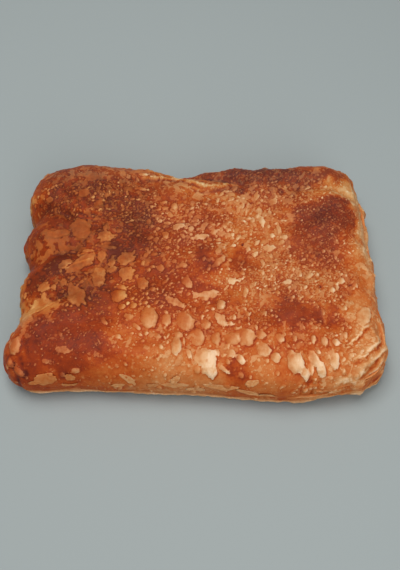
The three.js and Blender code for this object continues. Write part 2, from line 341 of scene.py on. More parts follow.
@dataclass(frozen=True)
class ParcelForm:
    """The parcel's broad shape, in millimetres, by the same sizes and rules as its solid."""

    length: float = 182.0
    width: float = 134.0
    level: float = 25.5
    bulge_height: float = 10.0
    flat_share: float = 0.8
    foot_share: float = 0.07
    ring_rim: float = 0.64
    ring_bulge: float = 0.87
    curve_steps: int = 26
    probe: float = 0.4
    ring_probe: float = 0.01
    halvings: int = 20
    outline: Line = (
        (-0.925, -0.893), (-0.62, -0.903), (-0.25, -0.925), (0.1, -0.945), (0.42, -0.985), (0.68, -0.955),
        (0.913, -0.865), (0.998, -0.66), (0.985, -0.36), (0.982, -0.04), (0.972, 0.28), (0.978, 0.62),
        (0.925, 0.915), (0.74, 1.0), (0.46, 0.985), (0.16, 0.98), (-0.1, 0.955), (-0.36, 0.985),
        (-0.64, 1.0), (-0.92, 0.93), (-1.0, 0.7), (-0.975, 0.53), (-0.945, 0.43), (-0.992, 0.27),
        (-0.942, 0.01), (-0.975, -0.16), (-0.95, -0.36), (-0.956, -0.48), (-1.012, -0.69),
    )
    swells: tuple[Swell, ...] = (
        Swell(-58, 48, 30, 22, 6.8), Swell(68, 29, 17, 19, 4.6), Swell(67, 59, 16, 8, 4.8),
        Swell(-12, 61, 14, 11, -5.0), Swell(28, 61, 22, 8, 2.4), Swell(33, 28, 14, 22, -2.4),
        Swell(-52, -42, 30, 18, 2.2), Swell(3, -4, 18, 20, 2.2), Swell(47, -27, 14, 11, 1.8),
        Swell(18, -55, 22, 9, -1.6), Swell(-76, 14, 12, 11, 1.6), Swell(-79, -15, 9, 9, -1.8),
    )
    waves: tuple[Wave, ...] = (
        Wave(39, 20, 0.4, 0.45), Wave(29, 75, 1.9, 0.4), Wave(23, 130, 3.1, 0.35),
        Wave(17, 48, 5.0, 0.3), Wave(15, 105, 0.9, 0.3),
    )
    creases: tuple[Crease, ...] = (
        Crease(((-90, 29), (-78, 32), (-66, 27)), 3.2, 3.2),
        Crease(((-88, 1), (-76, 3), (-60, 6)), 2.2, 3.0),
        Crease(((-89, -25), (-74, -24), (-60, -19)), 2.6, 3.0),
        Crease(((-14, 64), (2, 54), (24, 51)), 2.6, 3.4),
        Crease(((50, 47), (70, 46), (90, 36)), 2.6, 3.4),
        Crease(((49, -72), (51, -62), (52, -52)), 1.8, 2.6),
    )

    @cached_property
    def _reach_table(self) -> tuple[Array, Array]:
        """Follows a closed, smooth curve through the outline's points.

        Returns:
            The curve's bearings from the middle, in rising order, and its reach at each.
        """
        points = np.array(self.outline) * (self.length / 2, self.width / 2)
        share = np.linspace(0.0, 1.0, self.curve_steps, endpoint=False)[:, None]
        stretches = []
        for index in range(len(points)):
            p0, p1, p2, p3 = (points[(index + k) % len(points)] for k in (-1, 0, 1, 2))
            d0, d1, d2 = (math.sqrt(math.dist(a, b)) for a, b in ((p0, p1), (p1, p2), (p2, p3)))
            leave = ((p1 - p0) / d0 - (p2 - p0) / (d0 + d1) + (p2 - p1) / d1) * d1
            arrive = ((p2 - p1) / d1 - (p3 - p1) / (d1 + d2) + (p3 - p2) / d2) * d1
            square = 3.0 * (p2 - p1) - 2.0 * leave - arrive
            cube = 2.0 * (p1 - p2) + leave + arrive
            stretches.append(p1 + share * (leave + share * (square + share * cube)))
        curve = np.concatenate(stretches)
        bearings = np.arctan2(curve[:, 1], curve[:, 0])
        order = np.argsort(bearings)
        return bearings[order], np.hypot(curve[:, 0], curve[:, 1])[order]

    def reach(self, bearing: Array) -> Array:
        """How far the outline lies from the middle at each bearing."""
        return np.interp(bearing, *self._reach_table, period=TURN)

    def top_height(self, x: Array, y: Array) -> Array:
        """Gives the height of the top before it rounds over at the rim.

        Args:
            x: The points' x, in millimetres.
            y: The points' y, in millimetres.

        Returns:
            The heights, in millimetres.
        """
        height = np.full(np.shape(x), self.level)
        for swell in self.swells:
            reach = ((x - swell.x) / swell.along) ** 2 + ((y - swell.y) / swell.across) ** 2
            height = height + swell.rise * np.exp(-reach)
        for wave in self.waves:
            angle = math.radians(wave.bearing)
            along = x * math.cos(angle) + y * math.sin(angle)
            height = height + wave.rise * np.sin(TURN * along / wave.wavelength + wave.phase)
        for crease in self.creases:
            distance, _ = line_distance(x, y, crease.line)
            height = height - crease.depth * bell(distance, crease.half_width)
        return height

    def upper(self, bearing: Array, share: Array) -> Array:
        """Gives points of the upper skin.

        Args:
            bearing: The points' bearings from the middle, in radians.
            share: How far out they lie, 0 in the middle and 1 at the bulge.

        Returns:
            The points, in millimetres.
        """
        out = share * self.reach(bearing)
        x, y = out * np.cos(bearing), out * np.sin(bearing)
        over = np.clip((share - self.flat_share) / (1.0 - self.flat_share), 0.0, 1.0)
        rise = (self.top_height(x, y) - self.bulge_height) * np.sqrt(1.0 - over * over)
        return np.stack((x, y, self.bulge_height + rise), axis=-1)

    def lower(self, bearing: Array, under: Array) -> Array:
        """Gives points of the skin from the bulge (under 0) in to the foot (under 1).

        Args:
            bearing: The points' bearings from the middle, in radians.
            under: How far under the bulge they lie.

        Returns:
            The points, in millimetres.
        """
        angle = under * math.pi / 2
        out = self.reach(bearing) * (1.0 - self.foot_share * (1.0 - np.cos(angle)))
        height = self.bulge_height * (1.0 - np.sin(angle))
        return np.stack((out * np.cos(bearing), out * np.sin(bearing), height), axis=-1)

    def skin(self, bearing: Array, ring: Array) -> Array:
        """Gives points of the whole skin.

        Args:
            bearing: The points' bearings from the middle, in radians.
            ring: How far down the skin they lie, 0 in the middle of the top and 1 at the foot.

        Returns:
            The points, in millimetres.
        """
        turn = np.clip((ring - self.ring_rim) / (self.ring_bulge - self.ring_rim), 0.0, 1.0) * math.pi / 2
        flat = self.flat_share * np.minimum(ring / self.ring_rim, 1.0)
        share = flat + (1.0 - self.flat_share) * np.sin(turn)
        under = np.clip((ring - self.ring_bulge) / (1.0 - self.ring_bulge), 0.0, 1.0)
        on_top = (ring < self.ring_bulge)[..., None]
        return np.where(on_top, self.upper(bearing, share), self.lower(bearing, under))

    def over_plan(self, x: Array, y: Array) -> Array:
        """Gives the points of the upper skin over places on the plan.

        Args:
            x: The places' x, in millimetres.
            y: The places' y, in millimetres.

        Returns:
            The points, in millimetres.
        """
        bearing = np.arctan2(y, x)
        return self.upper(bearing, np.minimum(np.hypot(x, y) / self.reach(bearing), 1.0))

    def seat(self, x: float, y: float) -> tuple[Array, Array]:
        """Finds where something lies on the top, and which way the skin faces there.

        Args:
            x: The place's x, in millimetres.
            y: The place's y, in millimetres.

        Returns:
            The point of the skin, in millimetres, and the unit vector that it faces along.
        """
        step = self.probe
        xs = np.array((x, x + step, x - step, x, x))
        ys = np.array((y, y, y, y + step, y - step))
        middle, right, left, back, front = self.over_plan(xs, ys)
        facing = np.cross(right - left, back - front)
        return middle, facing / np.linalg.norm(facing)

    def side(self, bearing: Array, height: Array) -> tuple[Array, Array]:
        """Finds points of the side at given bearings and heights, and which way the skin faces there.

        Args:
            bearing: The bearings from the middle, in radians.
            height: The heights, in millimetres.

        Returns:
            The points, in millimetres, and the unit vectors that the skin faces along.
        """
        low = np.full(bearing.shape, self.ring_rim)
        high = np.ones(bearing.shape)
        for _ in range(self.halvings):
            ring = (low + high) / 2
            above = self.skin(bearing, ring)[:, 2] > height
            low, high = np.where(above, ring, low), np.where(above, high, ring)
        turn = self.probe / self.reach(bearing)
        step = self.ring_probe
        along = self.skin(bearing + turn, ring) - self.skin(bearing - turn, ring)
        down = self.skin(bearing, np.minimum(ring + step, 1.0)) - self.skin(bearing, ring - step)
        facing = np.cross(down, along)
        return self.skin(bearing, ring), facing / np.linalg.norm(facing, axis=1)[:, None]


@dataclass
class Skin:
    """Points of the crust and what is known at each; all arrays run over the same points, in millimetres."""

    points: Array
    normals: Array
    bearing: Array
    ring: Array
    seam: float = -0.35
    lean: Pair = (0.94, -0.34)
    low_side: float = 0.6
    steep_limits: Pair = (-0.8, 0.7)
    outer_share: float = 1.45
    outer_margin: float = 1.0
    full_tatter: float = 2.0
    glare: float = 0.95
    # The shade fields place a painted shadow just outside each blister's high side.
    shade_place: float = -0.3
    shade_width: float = 0.4
    shade_limits: Pair = (0.1, 0.9)
    shade_least: float = 0.15
    shade_rise: float = 0.4

    def __post_init__(self) -> None:
        """Starts with a level, unbaked skin."""
        count = len(self.points)
        self.lift, self.dome, self.pale, self.shade = np.zeros((4, count))
        self.bake, self.film, self.fizz, self.side, self.dry, self.toast = np.zeros((6, count))
        self.bubble = np.full(count, -1.0)
        self.tatters = Cloud.TATTER.at(self.points)
        self._order = np.argsort(self.points[:, 0])
        self._sorted_x = self.points[self._order, 0]

    def near(self, centre: Array, margin: float) -> Array:
        """Finds the points that lie near a place.

        Args:
            centre: The place, in millimetres.
            margin: How far off they may lie along each axis.

        Returns:
            The points' numbers.
        """
        first, last = np.searchsorted(self._sorted_x, (centre[0] - margin, centre[0] + margin))
        some = self._order[first:last]
        return some[np.abs(self.points[some] - centre).max(axis=1) < margin]

    def raise_blister(self, centre: Array, facing: Array, blister: Blister, phases: Array) -> None:
        """Raises one blister, notes how deep inside it each point lies, and lays a painted shadow beside its
        high side.

        Args:
            centre: The blister's middle, on the skin.
            facing: The unit vector that the skin faces along there.
            blister: The blister's sizes.
            phases: Angles that make its outline its own.
        """
        half = blister.length / 2, blister.breadth / 2
        narrow, wide = min(half), max(half)
        near = self.near(centre, self.outer_share * wide + self.outer_margin)
        offset = self.points[near] - centre
        right, back = axes_on(facing)
        turn = math.radians(blister.turn)
        a, b = offset @ right, offset @ back
        u = (a * math.cos(turn) + b * math.sin(turn)) / half[0]
        v = (b * math.cos(turn) - a * math.sin(turn)) / half[1]
        shape = blister.kind.value
        share = np.hypot(u, v) / ragged_outline(np.arctan2(v, u), phases, blister.kind)
        tatter = shape.tatter * min(1.0, narrow / self.full_tatter)
        share = np.clip(share - tatter * self.tatters[near] / narrow, 0.0, None)
        leaning = a * self.lean[0] + b * self.lean[1]
        steep = smooth_step(*self.steep_limits, leaning / wide)
        height = blister.rise * np.sqrt(np.clip(1.0 - share ** shape.flatness, 0.0, None))
        height *= self.low_side + (1.0 - self.low_side) * steep
        self.dome[near] = np.maximum(self.dome[near], height)
        inside = (1.0 - share) * narrow
        self.bubble[near] = np.maximum(self.bubble[near], inside)
        # The high side is paler: partly whiter, more lifted film, partly a painted highlight.
        dark_side = shape.dark_side + max(0.0, blister.pale - self.glare)
        paler = np.where(inside > self.seam, blister.pale * (dark_side + (1.0 - dark_side) * steep), 0.0)
        self.pale[near] = np.maximum(self.pale[near], paler)
        # Painted shadow: a thin dark band just outside the edge on the blister's high, right-hand side.
        high_side = smooth_step(*self.shade_limits, leaning / (np.hypot(a, b) + TINY))
        under = bell(inside - self.shade_place, self.shade_width) * high_side
        strength = min(1.0, max(self.shade_least, blister.rise - self.shade_rise))
        self.shade[near] = np.maximum(self.shade[near], under * strength)


@dataclass
class Blisters:
    """All blisters of the crust: those that stand out, listed one by one, and the small ones scattered in
    fields.
    """

    form: ParcelForm
    bubbles: tuple[Row, ...] = (
        (-22.5, -33.5, 13, 7.6, 95, 1.6, 0.75), (-14.5, -34.5, 7, 4.6, 80, 1.2, 0.8),
        (-5.6, -35.2, 11, 7.6, -50, 1.5, 0.8), (-37.5, -21.5, 8, 7.2, 60, 1.2, 0.7),
        (-36.5, -16, 5.4, 3.2, -20, 1.0, 0.8), (-26.5, -14, 8.4, 5.2, -60, 1.1, 0.75),
        (-35.5, -27.8, 3.6, 3.4, 0, 1.0, 0.85), (-33, -26, 2.2, 2, 0, 0.8, 1.0),
        (-30, -27.5, 4, 3.4, -20, 1.0, 0.9), (-31, -23.5, 2.4, 2, 0, 0.7, 0.9),
        (-29, -24, 1.7, 1.5, 0, 0.5, 0.8), (-26.5, -23.5, 1.8, 1.6, 0, 0.5, 0.8),
        (-23.5, -23, 2.4, 1.8, -50, 0.7, 0.9), (-24.5, -25.6, 3, 2.2, -20, 0.8, 0.9),
        (-24, -20.5, 2.2, 2, 0, 0.6, 0.9), (-26, -20.6, 1.8, 1.6, 0, 0.5, 0.8),
        (-29.5, -20.5, 2.2, 1.5, 0, 0.5, 0.8), (-27.2, -18.5, 2.6, 0.9, -50, 0.4, 0.8),
        (-27.2, -26.6, 2, 1.8, 0, 0.6, 0.8), (-19.5, -25.4, 2.6, 2.2, 0, 0.8, 0.95),
        (-17, -27.6, 2.4, 1.6, 60, 0.7, 0.9), (-15.8, -25.6, 1.8, 1.3, 0, 0.5, 0.8),
        (-5, -14, 7.6, 4.4, -55, 1.0, 0.85), (-16, -13.5, 3.6, 2.4, 60, 0.6, 0.5),
        (-21.5, -18, 4, 2.6, -60, 0.8, 0.7), (-21.5, -14.8, 2.4, 2, 0, 0.5, 0.5),
        (-19, -20.6, 1.8, 1.5, 0, 0.5, 0.8), (-18.8, -22.6, 1.7, 1.5, 0, 0.5, 0.8),
        (-15.5, -21.5, 2, 1.5, 0, 0.5, 0.8), (-43.5, -35.4, 6.6, 2.3, -52, 0.8, 0.8),
        (-46, -31, 1.8, 1.3, 90, 0.5, 0.8), (-41, -34.6, 1.5, 1.2, 0, 0.4, 0.7),
        (-28, -38.5, 4.8, 2.2, -45, 0.7, 0.8), (-31, -12.5, 2, 1.6, 0, 0.5, 0.7),
        (-29.5, -10, 2.2, 1.7, 30, 0.6, 0.7), (-33, -13, 1.7, 1.5, 0, 0.5, 0.7),
        (-45, -18, 1.7, 1.4, 0, 0.5, 0.7), (-42.5, -18.5, 1.5, 1.3, 0, 0.4, 0.7),
        (-32.5, -17, 1.7, 1.3, 0, 0.4, 0.7), (-9.5, -48.5, 9.6, 5, 93, 1.5, 1.0),
        (-8.7, -42.4, 4.2, 3.8, 0, 1.0, 0.8), (-6.1, -46, 6, 1.3, 95, 0.9, 1.0),
        (-3.8, -51.7, 6.4, 2.4, 110, 1.1, 1.05), (-16.4, -49.4, 3.6, 1.9, 120, 0.8, 0.95),
        (-19.8, -48.4, 1.8, 1.6, 0, 0.6, 0.9), (-18.3, -45.8, 1.5, 1.2, 0, 0.4, 0.8),
        (-15.5, -46.8, 1.5, 1.2, 0, 0.4, 0.8), (-13.7, -47, 2.5, 1.7, 110, 0.6, 0.85),
        (-13.3, -43, 3.4, 1.3, 75, 0.7, 0.95), (-15, -44, 3, 1.0, 115, 0.5, 0.9),
        (-18.4, -43.3, 4.6, 2.8, -40, 0.6, 0.7), (-16.8, -40.6, 1.9, 1.2, -50, 0.5, 0.8),
        (-11, -38.6, 1.7, 1.3, 70, 0.5, 0.8), (-12.6, -39.6, 1.6, 1.2, 80, 0.5, 0.8),
        (-36.4, -44, 3.3, 2.6, 0, 0.8, 0.9), (-30.2, -41.8, 2, 1.7, 0, 0.6, 0.8),
        (-26.4, -42.2, 2.9, 1.9, -40, 0.7, 0.85), (-23.6, -41.8, 2.6, 2.2, 0, 0.8, 0.9),
        (-33.2, -42.8, 1.3, 1.2, 0, 0.4, 0.8), (-25, -45.8, 2.4, 1.8, 0, 0.5, 0.6),
        (-28, -46.2, 1.5, 1.1, -40, 0.4, 0.8), (-36, -49, 3.2, 0.9, -62, 0.4, 0.8),
        (-46.2, -48, 4.2, 0.9, -55, 0.4, 0.8), (-32.6, -56.2, 2.5, 2, -40, 0.7, 0.9),
        (-20.6, -58.4, 2.5, 1.6, 0, 0.5, 0.9), (3.8, -52.8, 11.4, 8.4, 10, 1.7, 1.14),
        (6.2, -58.6, 8, 5.2, 100, 1.5, 1.12), (11.8, -57.8, 7.6, 2.4, -35, 1.0, 1.0),
        (9.2, -50.4, 4.4, 2.2, 110, 1.1, 1.1), (12, -52, 2.7, 2.4, 0, 0.8, 0.8),
        (15.4, -51.4, 5.4, 4.2, -30, 1.1, 0.95), (19.4, -54, 7.4, 3.1, -46, 1.0, 1.0),
        (14, -55, 3, 2.2, -70, 0.8, 0.8), (22.2, -43.4, 9.6, 8.6, 110, 1.7, 0.8),
        (16.2, -44.2, 7.2, 6.2, 0, 1.2, 0.7), (18, -39, 2.5, 1.9, 0, 0.7, 0.8),
        (29.4, -42.8, 4.6, 4.4, 0, 1.1, 0.75), (30.2, -49.4, 8.6, 5.8, -60, 1.4, 0.8),
        (35.8, -53.3, 4.8, 4.6, 0, 1.3, 1.0), (31.8, -54.8, 2.2, 2, 0, 0.7, 0.8),
        (38.2, -44, 5.3, 3.9, 100, 1.1, 0.85), (40.2, -41.9, 2.4, 1.9, 90, 0.7, 0.9),
        (27.2, -38.8, 3.1, 1.8, 115, 0.8, 0.9), (8.6, -43.8, 5.6, 4.4, 110, 1.2, 0.8),
        (-0.4, -43, 9.4, 7.2, 110, 1.2, 0.6), (4, -36.8, 6.6, 4, 120, 1.0, 0.75),
        (13.8, -47.8, 2.8, 2.2, 30, 0.8, 0.9), (12.2, -48.9, 1.7, 1.3, 0, 0.5, 0.8),
        (5.8, -47.2, 1.8, 1.6, 0, 0.6, 0.8), (18.9, -47.8, 1.9, 1.5, 0, 0.6, 0.8),
        (36.5, -60.2, 2.6, 2, 90, 0.6, 0.6), (44.6, -55.8, 9.8, 8.0, 110, 1.8, 1.14),
        (48.4, -59.6, 7.6, 4.4, -58, 1.5, 1.2), (53.6, -54.2, 9, 4.8, -72, 1.4, 1.12),
        (55.4, -51, 3, 1.7, -70, 1.0, 1.05), (56.2, -58.4, 8.4, 4.4, 100, 1.7, 1.22),
        (51.6, -58.2, 5.4, 3.6, 90, 1.0, 0.95), (62.4, -55, 7.6, 4.6, 95, 1.4, 1.05),
        (59.2, -53.3, 3, 2.4, 0, 0.8, 0.6), (69.8, -53, 3.6, 2.4, 45, 0.9, 0.9),
        (66.6, -54.4, 2.7, 1.8, 30, 0.7, 0.9), (74.8, -50.6, 3.3, 1.7, 60, 0.7, 0.85),
        (63.2, -47.2, 3.6, 3.5, 0, 1.2, 1.1), (58.2, -46.6, 5.4, 3, 95, 1.2, 1.1),
        (53.4, -44.8, 4.7, 2.6, 95, 1.1, 1.0), (45, -44, 3.7, 2.4, 100, 1.0, 0.95),
        (43.2, -41.6, 2.8, 1.9, -30, 0.7, 0.8), (68, -43.4, 4.5, 2.2, 80, 1.0, 0.95),
        (67.8, -46.3, 2, 1.5, 80, 0.6, 0.9), (67.4, -39.4, 3, 1.5, 75, 0.7, 0.9),
        (69.6, -36.8, 3, 1.3, 80, 0.7, 0.9), (72, -37, 2.5, 1.1, 75, 0.5, 0.9),
        (55, -38.8, 2.7, 1.8, 100, 0.6, 0.8), (42.6, -51, 3.3, 2.3, -20, 0.8, 0.9),
        (61.9, -42.8, 1.5, 1.4, 0, 0.5, 0.9), (65.6, -42.8, 1.5, 1.4, 0, 0.5, 0.9),
        (50.6, -42.4, 1.7, 1.4, 0, 0.5, 0.8), (60.5, -60.8, 3, 1.6, 0, 0.6, 0.8),
        (11.3, -27.1, 5.8, 4.4, 100, 1.5, 1.0), (7.4, -21, 4.4, 3.6, 0, 1.0, 0.85),
        (3, -22, 5.2, 3.8, -20, 0.9, 0.7), (-1.2, -19.6, 2.7, 1.7, 0, 0.6, 0.8),
        (15.2, -36.4, 3.3, 2.4, -40, 0.9, 0.95), (17.2, -33.2, 3.4, 2.2, 100, 0.9, 0.9),
        (24.6, -31.6, 3.6, 1.1, 70, 0.8, 1.05), (24, -34.8, 3.6, 1.0, 88, 0.8, 1.05),
        (23.4, -31, 2.8, 2.6, 0, 0.6, 0.5), (32.2, -31, 3.8, 1.4, 82, 0.8, 1.0),
        (31.2, -30.6, 2.4, 2.2, 0, 0.6, 0.5), (23.2, -19.4, 6.6, 2.3, 75, 0.7, 0.8),
        (30.1, -20, 7, 1.0, 80, 0.5, 0.85), (22, -9, 3, 2.4, 0, 0.7, 0.8),
        (27.6, -15.4, 2.5, 1.2, 70, 0.6, 0.9), (50, -9, 3.5, 2.4, 80, 0.7, 0.8),
        (54.2, -10, 5.8, 3.4, 45, 0.9, 0.9), (58, -9, 3, 2.5, 0, 0.7, 0.8),
        (64.4, -18, 3.8, 3, 20, 1.0, 1.0), (67, -17.2, 4.4, 1.8, 60, 0.9, 1.0),
        (69.4, -12.8, 4.6, 3.3, 30, 0.9, 0.85), (67, -14.6, 2.6, 2, 0, 0.7, 0.9),
        (66.3, -21.3, 2.5, 1.3, 70, 0.6, 1.0), (68.4, -21.6, 2.3, 1.3, 70, 0.6, 0.95),
        (62.4, -21.6, 2.7, 1.6, 60, 0.6, 0.9), (69.6, -28.3, 3, 2.4, 60, 1.0, 1.0),
        (59.2, -30.6, 3.5, 1.3, 100, 0.7, 0.95), (56.8, -28, 1.5, 1.3, 0, 0.5, 0.9),
        (78.4, -32, 14, 6, 65, 1.2, 0.8), (48.4, -23.4, 2.5, 2.4, 0, 0.6, 0.7),
        (53.6, -22.8, 3.4, 2, 30, 0.6, 0.7), (57.6, -19.8, 3, 2.4, 0, 0.7, 0.7),
        (68.4, 1.2, 2.3, 1.8, 100, 0.7, 0.9), (67.4, -4.2, 2.3, 1.4, 90, 0.6, 0.9),
        (56, 14, 2, 1.9, 0, 0.5, 0.7), (43.6, 13.6, 4.2, 3, -30, 0.7, 0.8),
        (41.4, 19.5, 9, 2.4, 95, 0.6, 0.75), (3, 19.6, 5.8, 3.2, 70, 0.9, 0.85),
        (8.4, 17, 4.6, 3.4, 20, 0.9, 0.85), (8, 21, 2.5, 2, 0, 0.6, 0.7),
        (13.8, 20.4, 2.7, 2.4, 0, 0.7, 0.85), (12.6, 15.2, 2.9, 1.8, 25, 0.7, 0.85),
        (17.7, 15.6, 2.7, 2, 90, 0.7, 0.9), (10.4, 12.2, 3, 2.6, 90, 0.6, 0.7),
        (6, 12, 3.7, 2.8, 100, 0.6, 0.65), (-2.6, 23.3, 2.1, 1.7, 0, 0.5, 0.8),
        (10.4, 3.4, 4.6, 3, 60, 0.9, 0.85), (4.2, 7.5, 2, 1.2, 120, 0.5, 0.8),
        (10.6, -3, 8.8, 3.6, 45, 1.0, 0.8), (15.8, -1.3, 2.6, 2.4, 90, 0.7, 0.8),
        (15, -7, 2.7, 1.7, -20, 0.6, 0.8), (25.4, 6.6, 3.3, 2.4, 60, 0.8, 0.95),
        (28.8, 4.2, 4.7, 2.8, 25, 1.0, 0.95), (30, 11, 4.1, 2.4, 60, 0.8, 0.85),
        (36, 8, 6.6, 4.6, 15, 1.0, 0.9), (36.6, 2.8, 4.4, 2.2, 95, 0.8, 0.85),
        (32.3, -1, 5.5, 2.2, 105, 0.7, 0.85), (22.2, -2.4, 8, 1.1, 66, 0.5, 0.7),
        (34.5, -6.5, 2.1, 1.7, 0, 0.5, 0.8), (33.2, 25, 9, 2.8, 97, 0.8, 0.95),
        (32.2, 32.4, 8, 2.6, 92, 0.8, 0.9), (26.6, 27, 2.7, 2.4, 0, 0.6, 0.85),
        (37.6, 31, 6, 1.7, 100, 0.6, 0.9), (31, 41.4, 5, 3.4, 70, 0.8, 0.9),
        (40, 38.2, 4.7, 4, 30, 0.8, 0.85), (25.5, 32, 5, 1.5, 85, 0.5, 0.85),
        (21, 32.4, 5, 2, 85, 0.6, 0.8), (13.4, 36, 2.5, 2.2, 0, 0.6, 0.8), (18, 39, 3, 2.6, 0, 0.6, 0.8),
        (12.6, 42.6, 4.2, 2.6, 60, 0.7, 0.85), (15.5, 44.5, 3, 2, 0, 0.6, 0.85),
        (10.6, 38, 4.5, 1.9, 75, 0.6, 0.85), (5.8, 39.4, 2.7, 1.5, 110, 0.5, 0.85),
        (19.6, 46.5, 4.5, 2.8, 70, 0.7, 0.85), (1, 43, 4.2, 2.4, -40, 0.6, 0.7),
        (-12, 33.4, 5, 3.6, 80, 0.9, 0.85), (-8.4, 33.8, 3, 2, 70, 0.6, 0.75),
        (-16.6, 31.6, 4, 2.6, 0, 0.7, 0.85), (-14.2, 27.8, 3.6, 3, -30, 0.8, 0.85),
        (-17.2, 35.8, 3.2, 2.4, 0, 0.7, 0.85), (-19.8, 30.6, 2.1, 1.8, 0, 0.5, 0.8),
        (-29.8, 44.2, 5, 3.4, -20, 0.7, 0.7), (-36.6, 51, 3.5, 2.6, 90, 0.7, 0.85),
        (-28.6, 54, 6, 2.2, 10, 0.7, 1.0), (-31.8, 50.5, 2.4, 2, 90, 0.5, 0.85),
        (-36.5, 47, 2.1, 1.7, 0, 0.5, 0.8), (-39.5, 44, 3, 1.4, 80, 0.5, 0.7),
        (-29.4, 39.3, 2.2, 2, 90, 0.5, 0.75), (-33.6, 36.4, 2.8, 1.8, 20, 0.5, 0.75),
        (-28.2, 35.6, 1.8, 1.6, 0, 0.4, 0.75), (-38.6, 32, 2, 1.7, 0, 0.4, 0.7),
        (-47, 36.6, 2.4, 2.2, 0, 0.5, 0.75), (-50.6, 32.4, 5, 3, 10, 0.7, 0.7),
        (-72, 33.4, 2, 1.5, 0, 0.4, 0.5), (-62.5, 32, 3, 1.7, 10, 0.4, 0.5),
        (-76.8, 36.2, 3.4, 2.2, 0, 0.5, 0.5), (-46.6, 18.8, 3.2, 3, 90, 0.7, 0.8),
        (-39.6, 17, 3, 2.6, 120, 0.6, 0.75), (-34, 21, 3, 2.4, 0, 0.5, 0.45),
        (-32.4, 17.4, 1.7, 1.5, 0, 0.4, 0.7), (-30, 15, 2.4, 2, 90, 0.5, 0.75),
        (-23.8, 13.6, 4, 2.6, 60, 0.7, 0.7), (-20.8, 12, 4.5, 3.2, 100, 0.7, 0.75),
        (-16, 15.4, 5, 3.6, 100, 0.8, 0.8), (-20.4, 20.4, 2.7, 2, 0, 0.6, 0.8),
        (-22, 18.4, 2.1, 1.9, 0, 0.5, 0.75), (-18, 19, 2.1, 1.8, 0, 0.5, 0.75),
        (-15, 23, 3.8, 2.2, 0, 0.7, 0.85), (-14, 10.8, 3, 2.4, 90, 0.6, 0.8),
        (-15, 7, 2.5, 2.2, 90, 0.6, 0.8), (-9.6, 7.2, 2.6, 1.6, 80, 0.5, 0.75),
        (-11.6, 15.6, 1.5, 1.3, 0, 0.4, 0.8), (-26.7, -2.4, 3.4, 2, 90, 0.7, 0.75),
        (-22, -4.4, 2.5, 2, 0, 0.6, 0.75), (-18, -5, 4.1, 3.8, 0, 0.8, 0.75),
        (-24, -6, 2.5, 2.4, 0, 0.6, 0.75), (-6.8, -4.4, 4, 3.2, 0, 0.8, 0.8),
        (-13.6, -4, 1.7, 1.5, 0, 0.5, 0.75), (-66, -23, 3.4, 2, -70, 0.7, 0.75),
        (-61.5, -27.2, 2.3, 1.7, 80, 0.6, 0.75), (-63.4, -27, 2, 1.4, 80, 0.5, 0.75),
        (-59.4, -28, 1.7, 1.5, 0, 0.5, 0.75), (-62, -30.2, 2.5, 1.3, -30, 0.5, 0.75),
        (-73.6, -34.6, 2.5, 1.5, -60, 0.6, 0.75), (-69, -34.2, 2.7, 1.3, 50, 0.5, 0.75),
        (-68, -31, 2.1, 1.7, 0, 0.5, 0.7), (-51.6, -22.6, 2.7, 1.5, -50, 0.6, 0.8),
        (-62.6, -43.6, 3.4, 1.7, -60, 0.6, 0.65), (-69.6, -43.3, 1.4, 1.2, 0, 0.4, 0.7),
        (-84, -46.5, 9, 7, 70, 2.2, 0.66), (-86.5, -53, 6, 4.6, -50, 1.7, 0.56),
        (-82, -57.4, 6.5, 4.4, -30, 1.5, 0.62), (46.6, -64.2, 2.4, 1.6, 40, 0.8, 0.9),
        (48.6, -64.0, 2.0, 1.5, 90, 0.8, 1.0), (49.6, -65.2, 2.2, 1.6, 0, 0.8, 0.9),
        (51.8, -64.4, 2.6, 1.8, -40, 0.9, 0.9), (54.0, -64.2, 2.2, 1.6, 20, 0.8, 0.9),
        (49.6, -62.0, 2.4, 1.6, 80, 0.7, 1.0), (53.4, -61.8, 2.0, 1.5, 0, 0.7, 0.9),
        (57.0, -64.0, 2.4, 1.6, 20, 0.8, 0.9), (45.0, -65.2, 2.4, 1.4, 10, 0.7, 0.8),
        (5.2, -56, 8.6, 7.0, 80, 1.6, 1.12),
    )
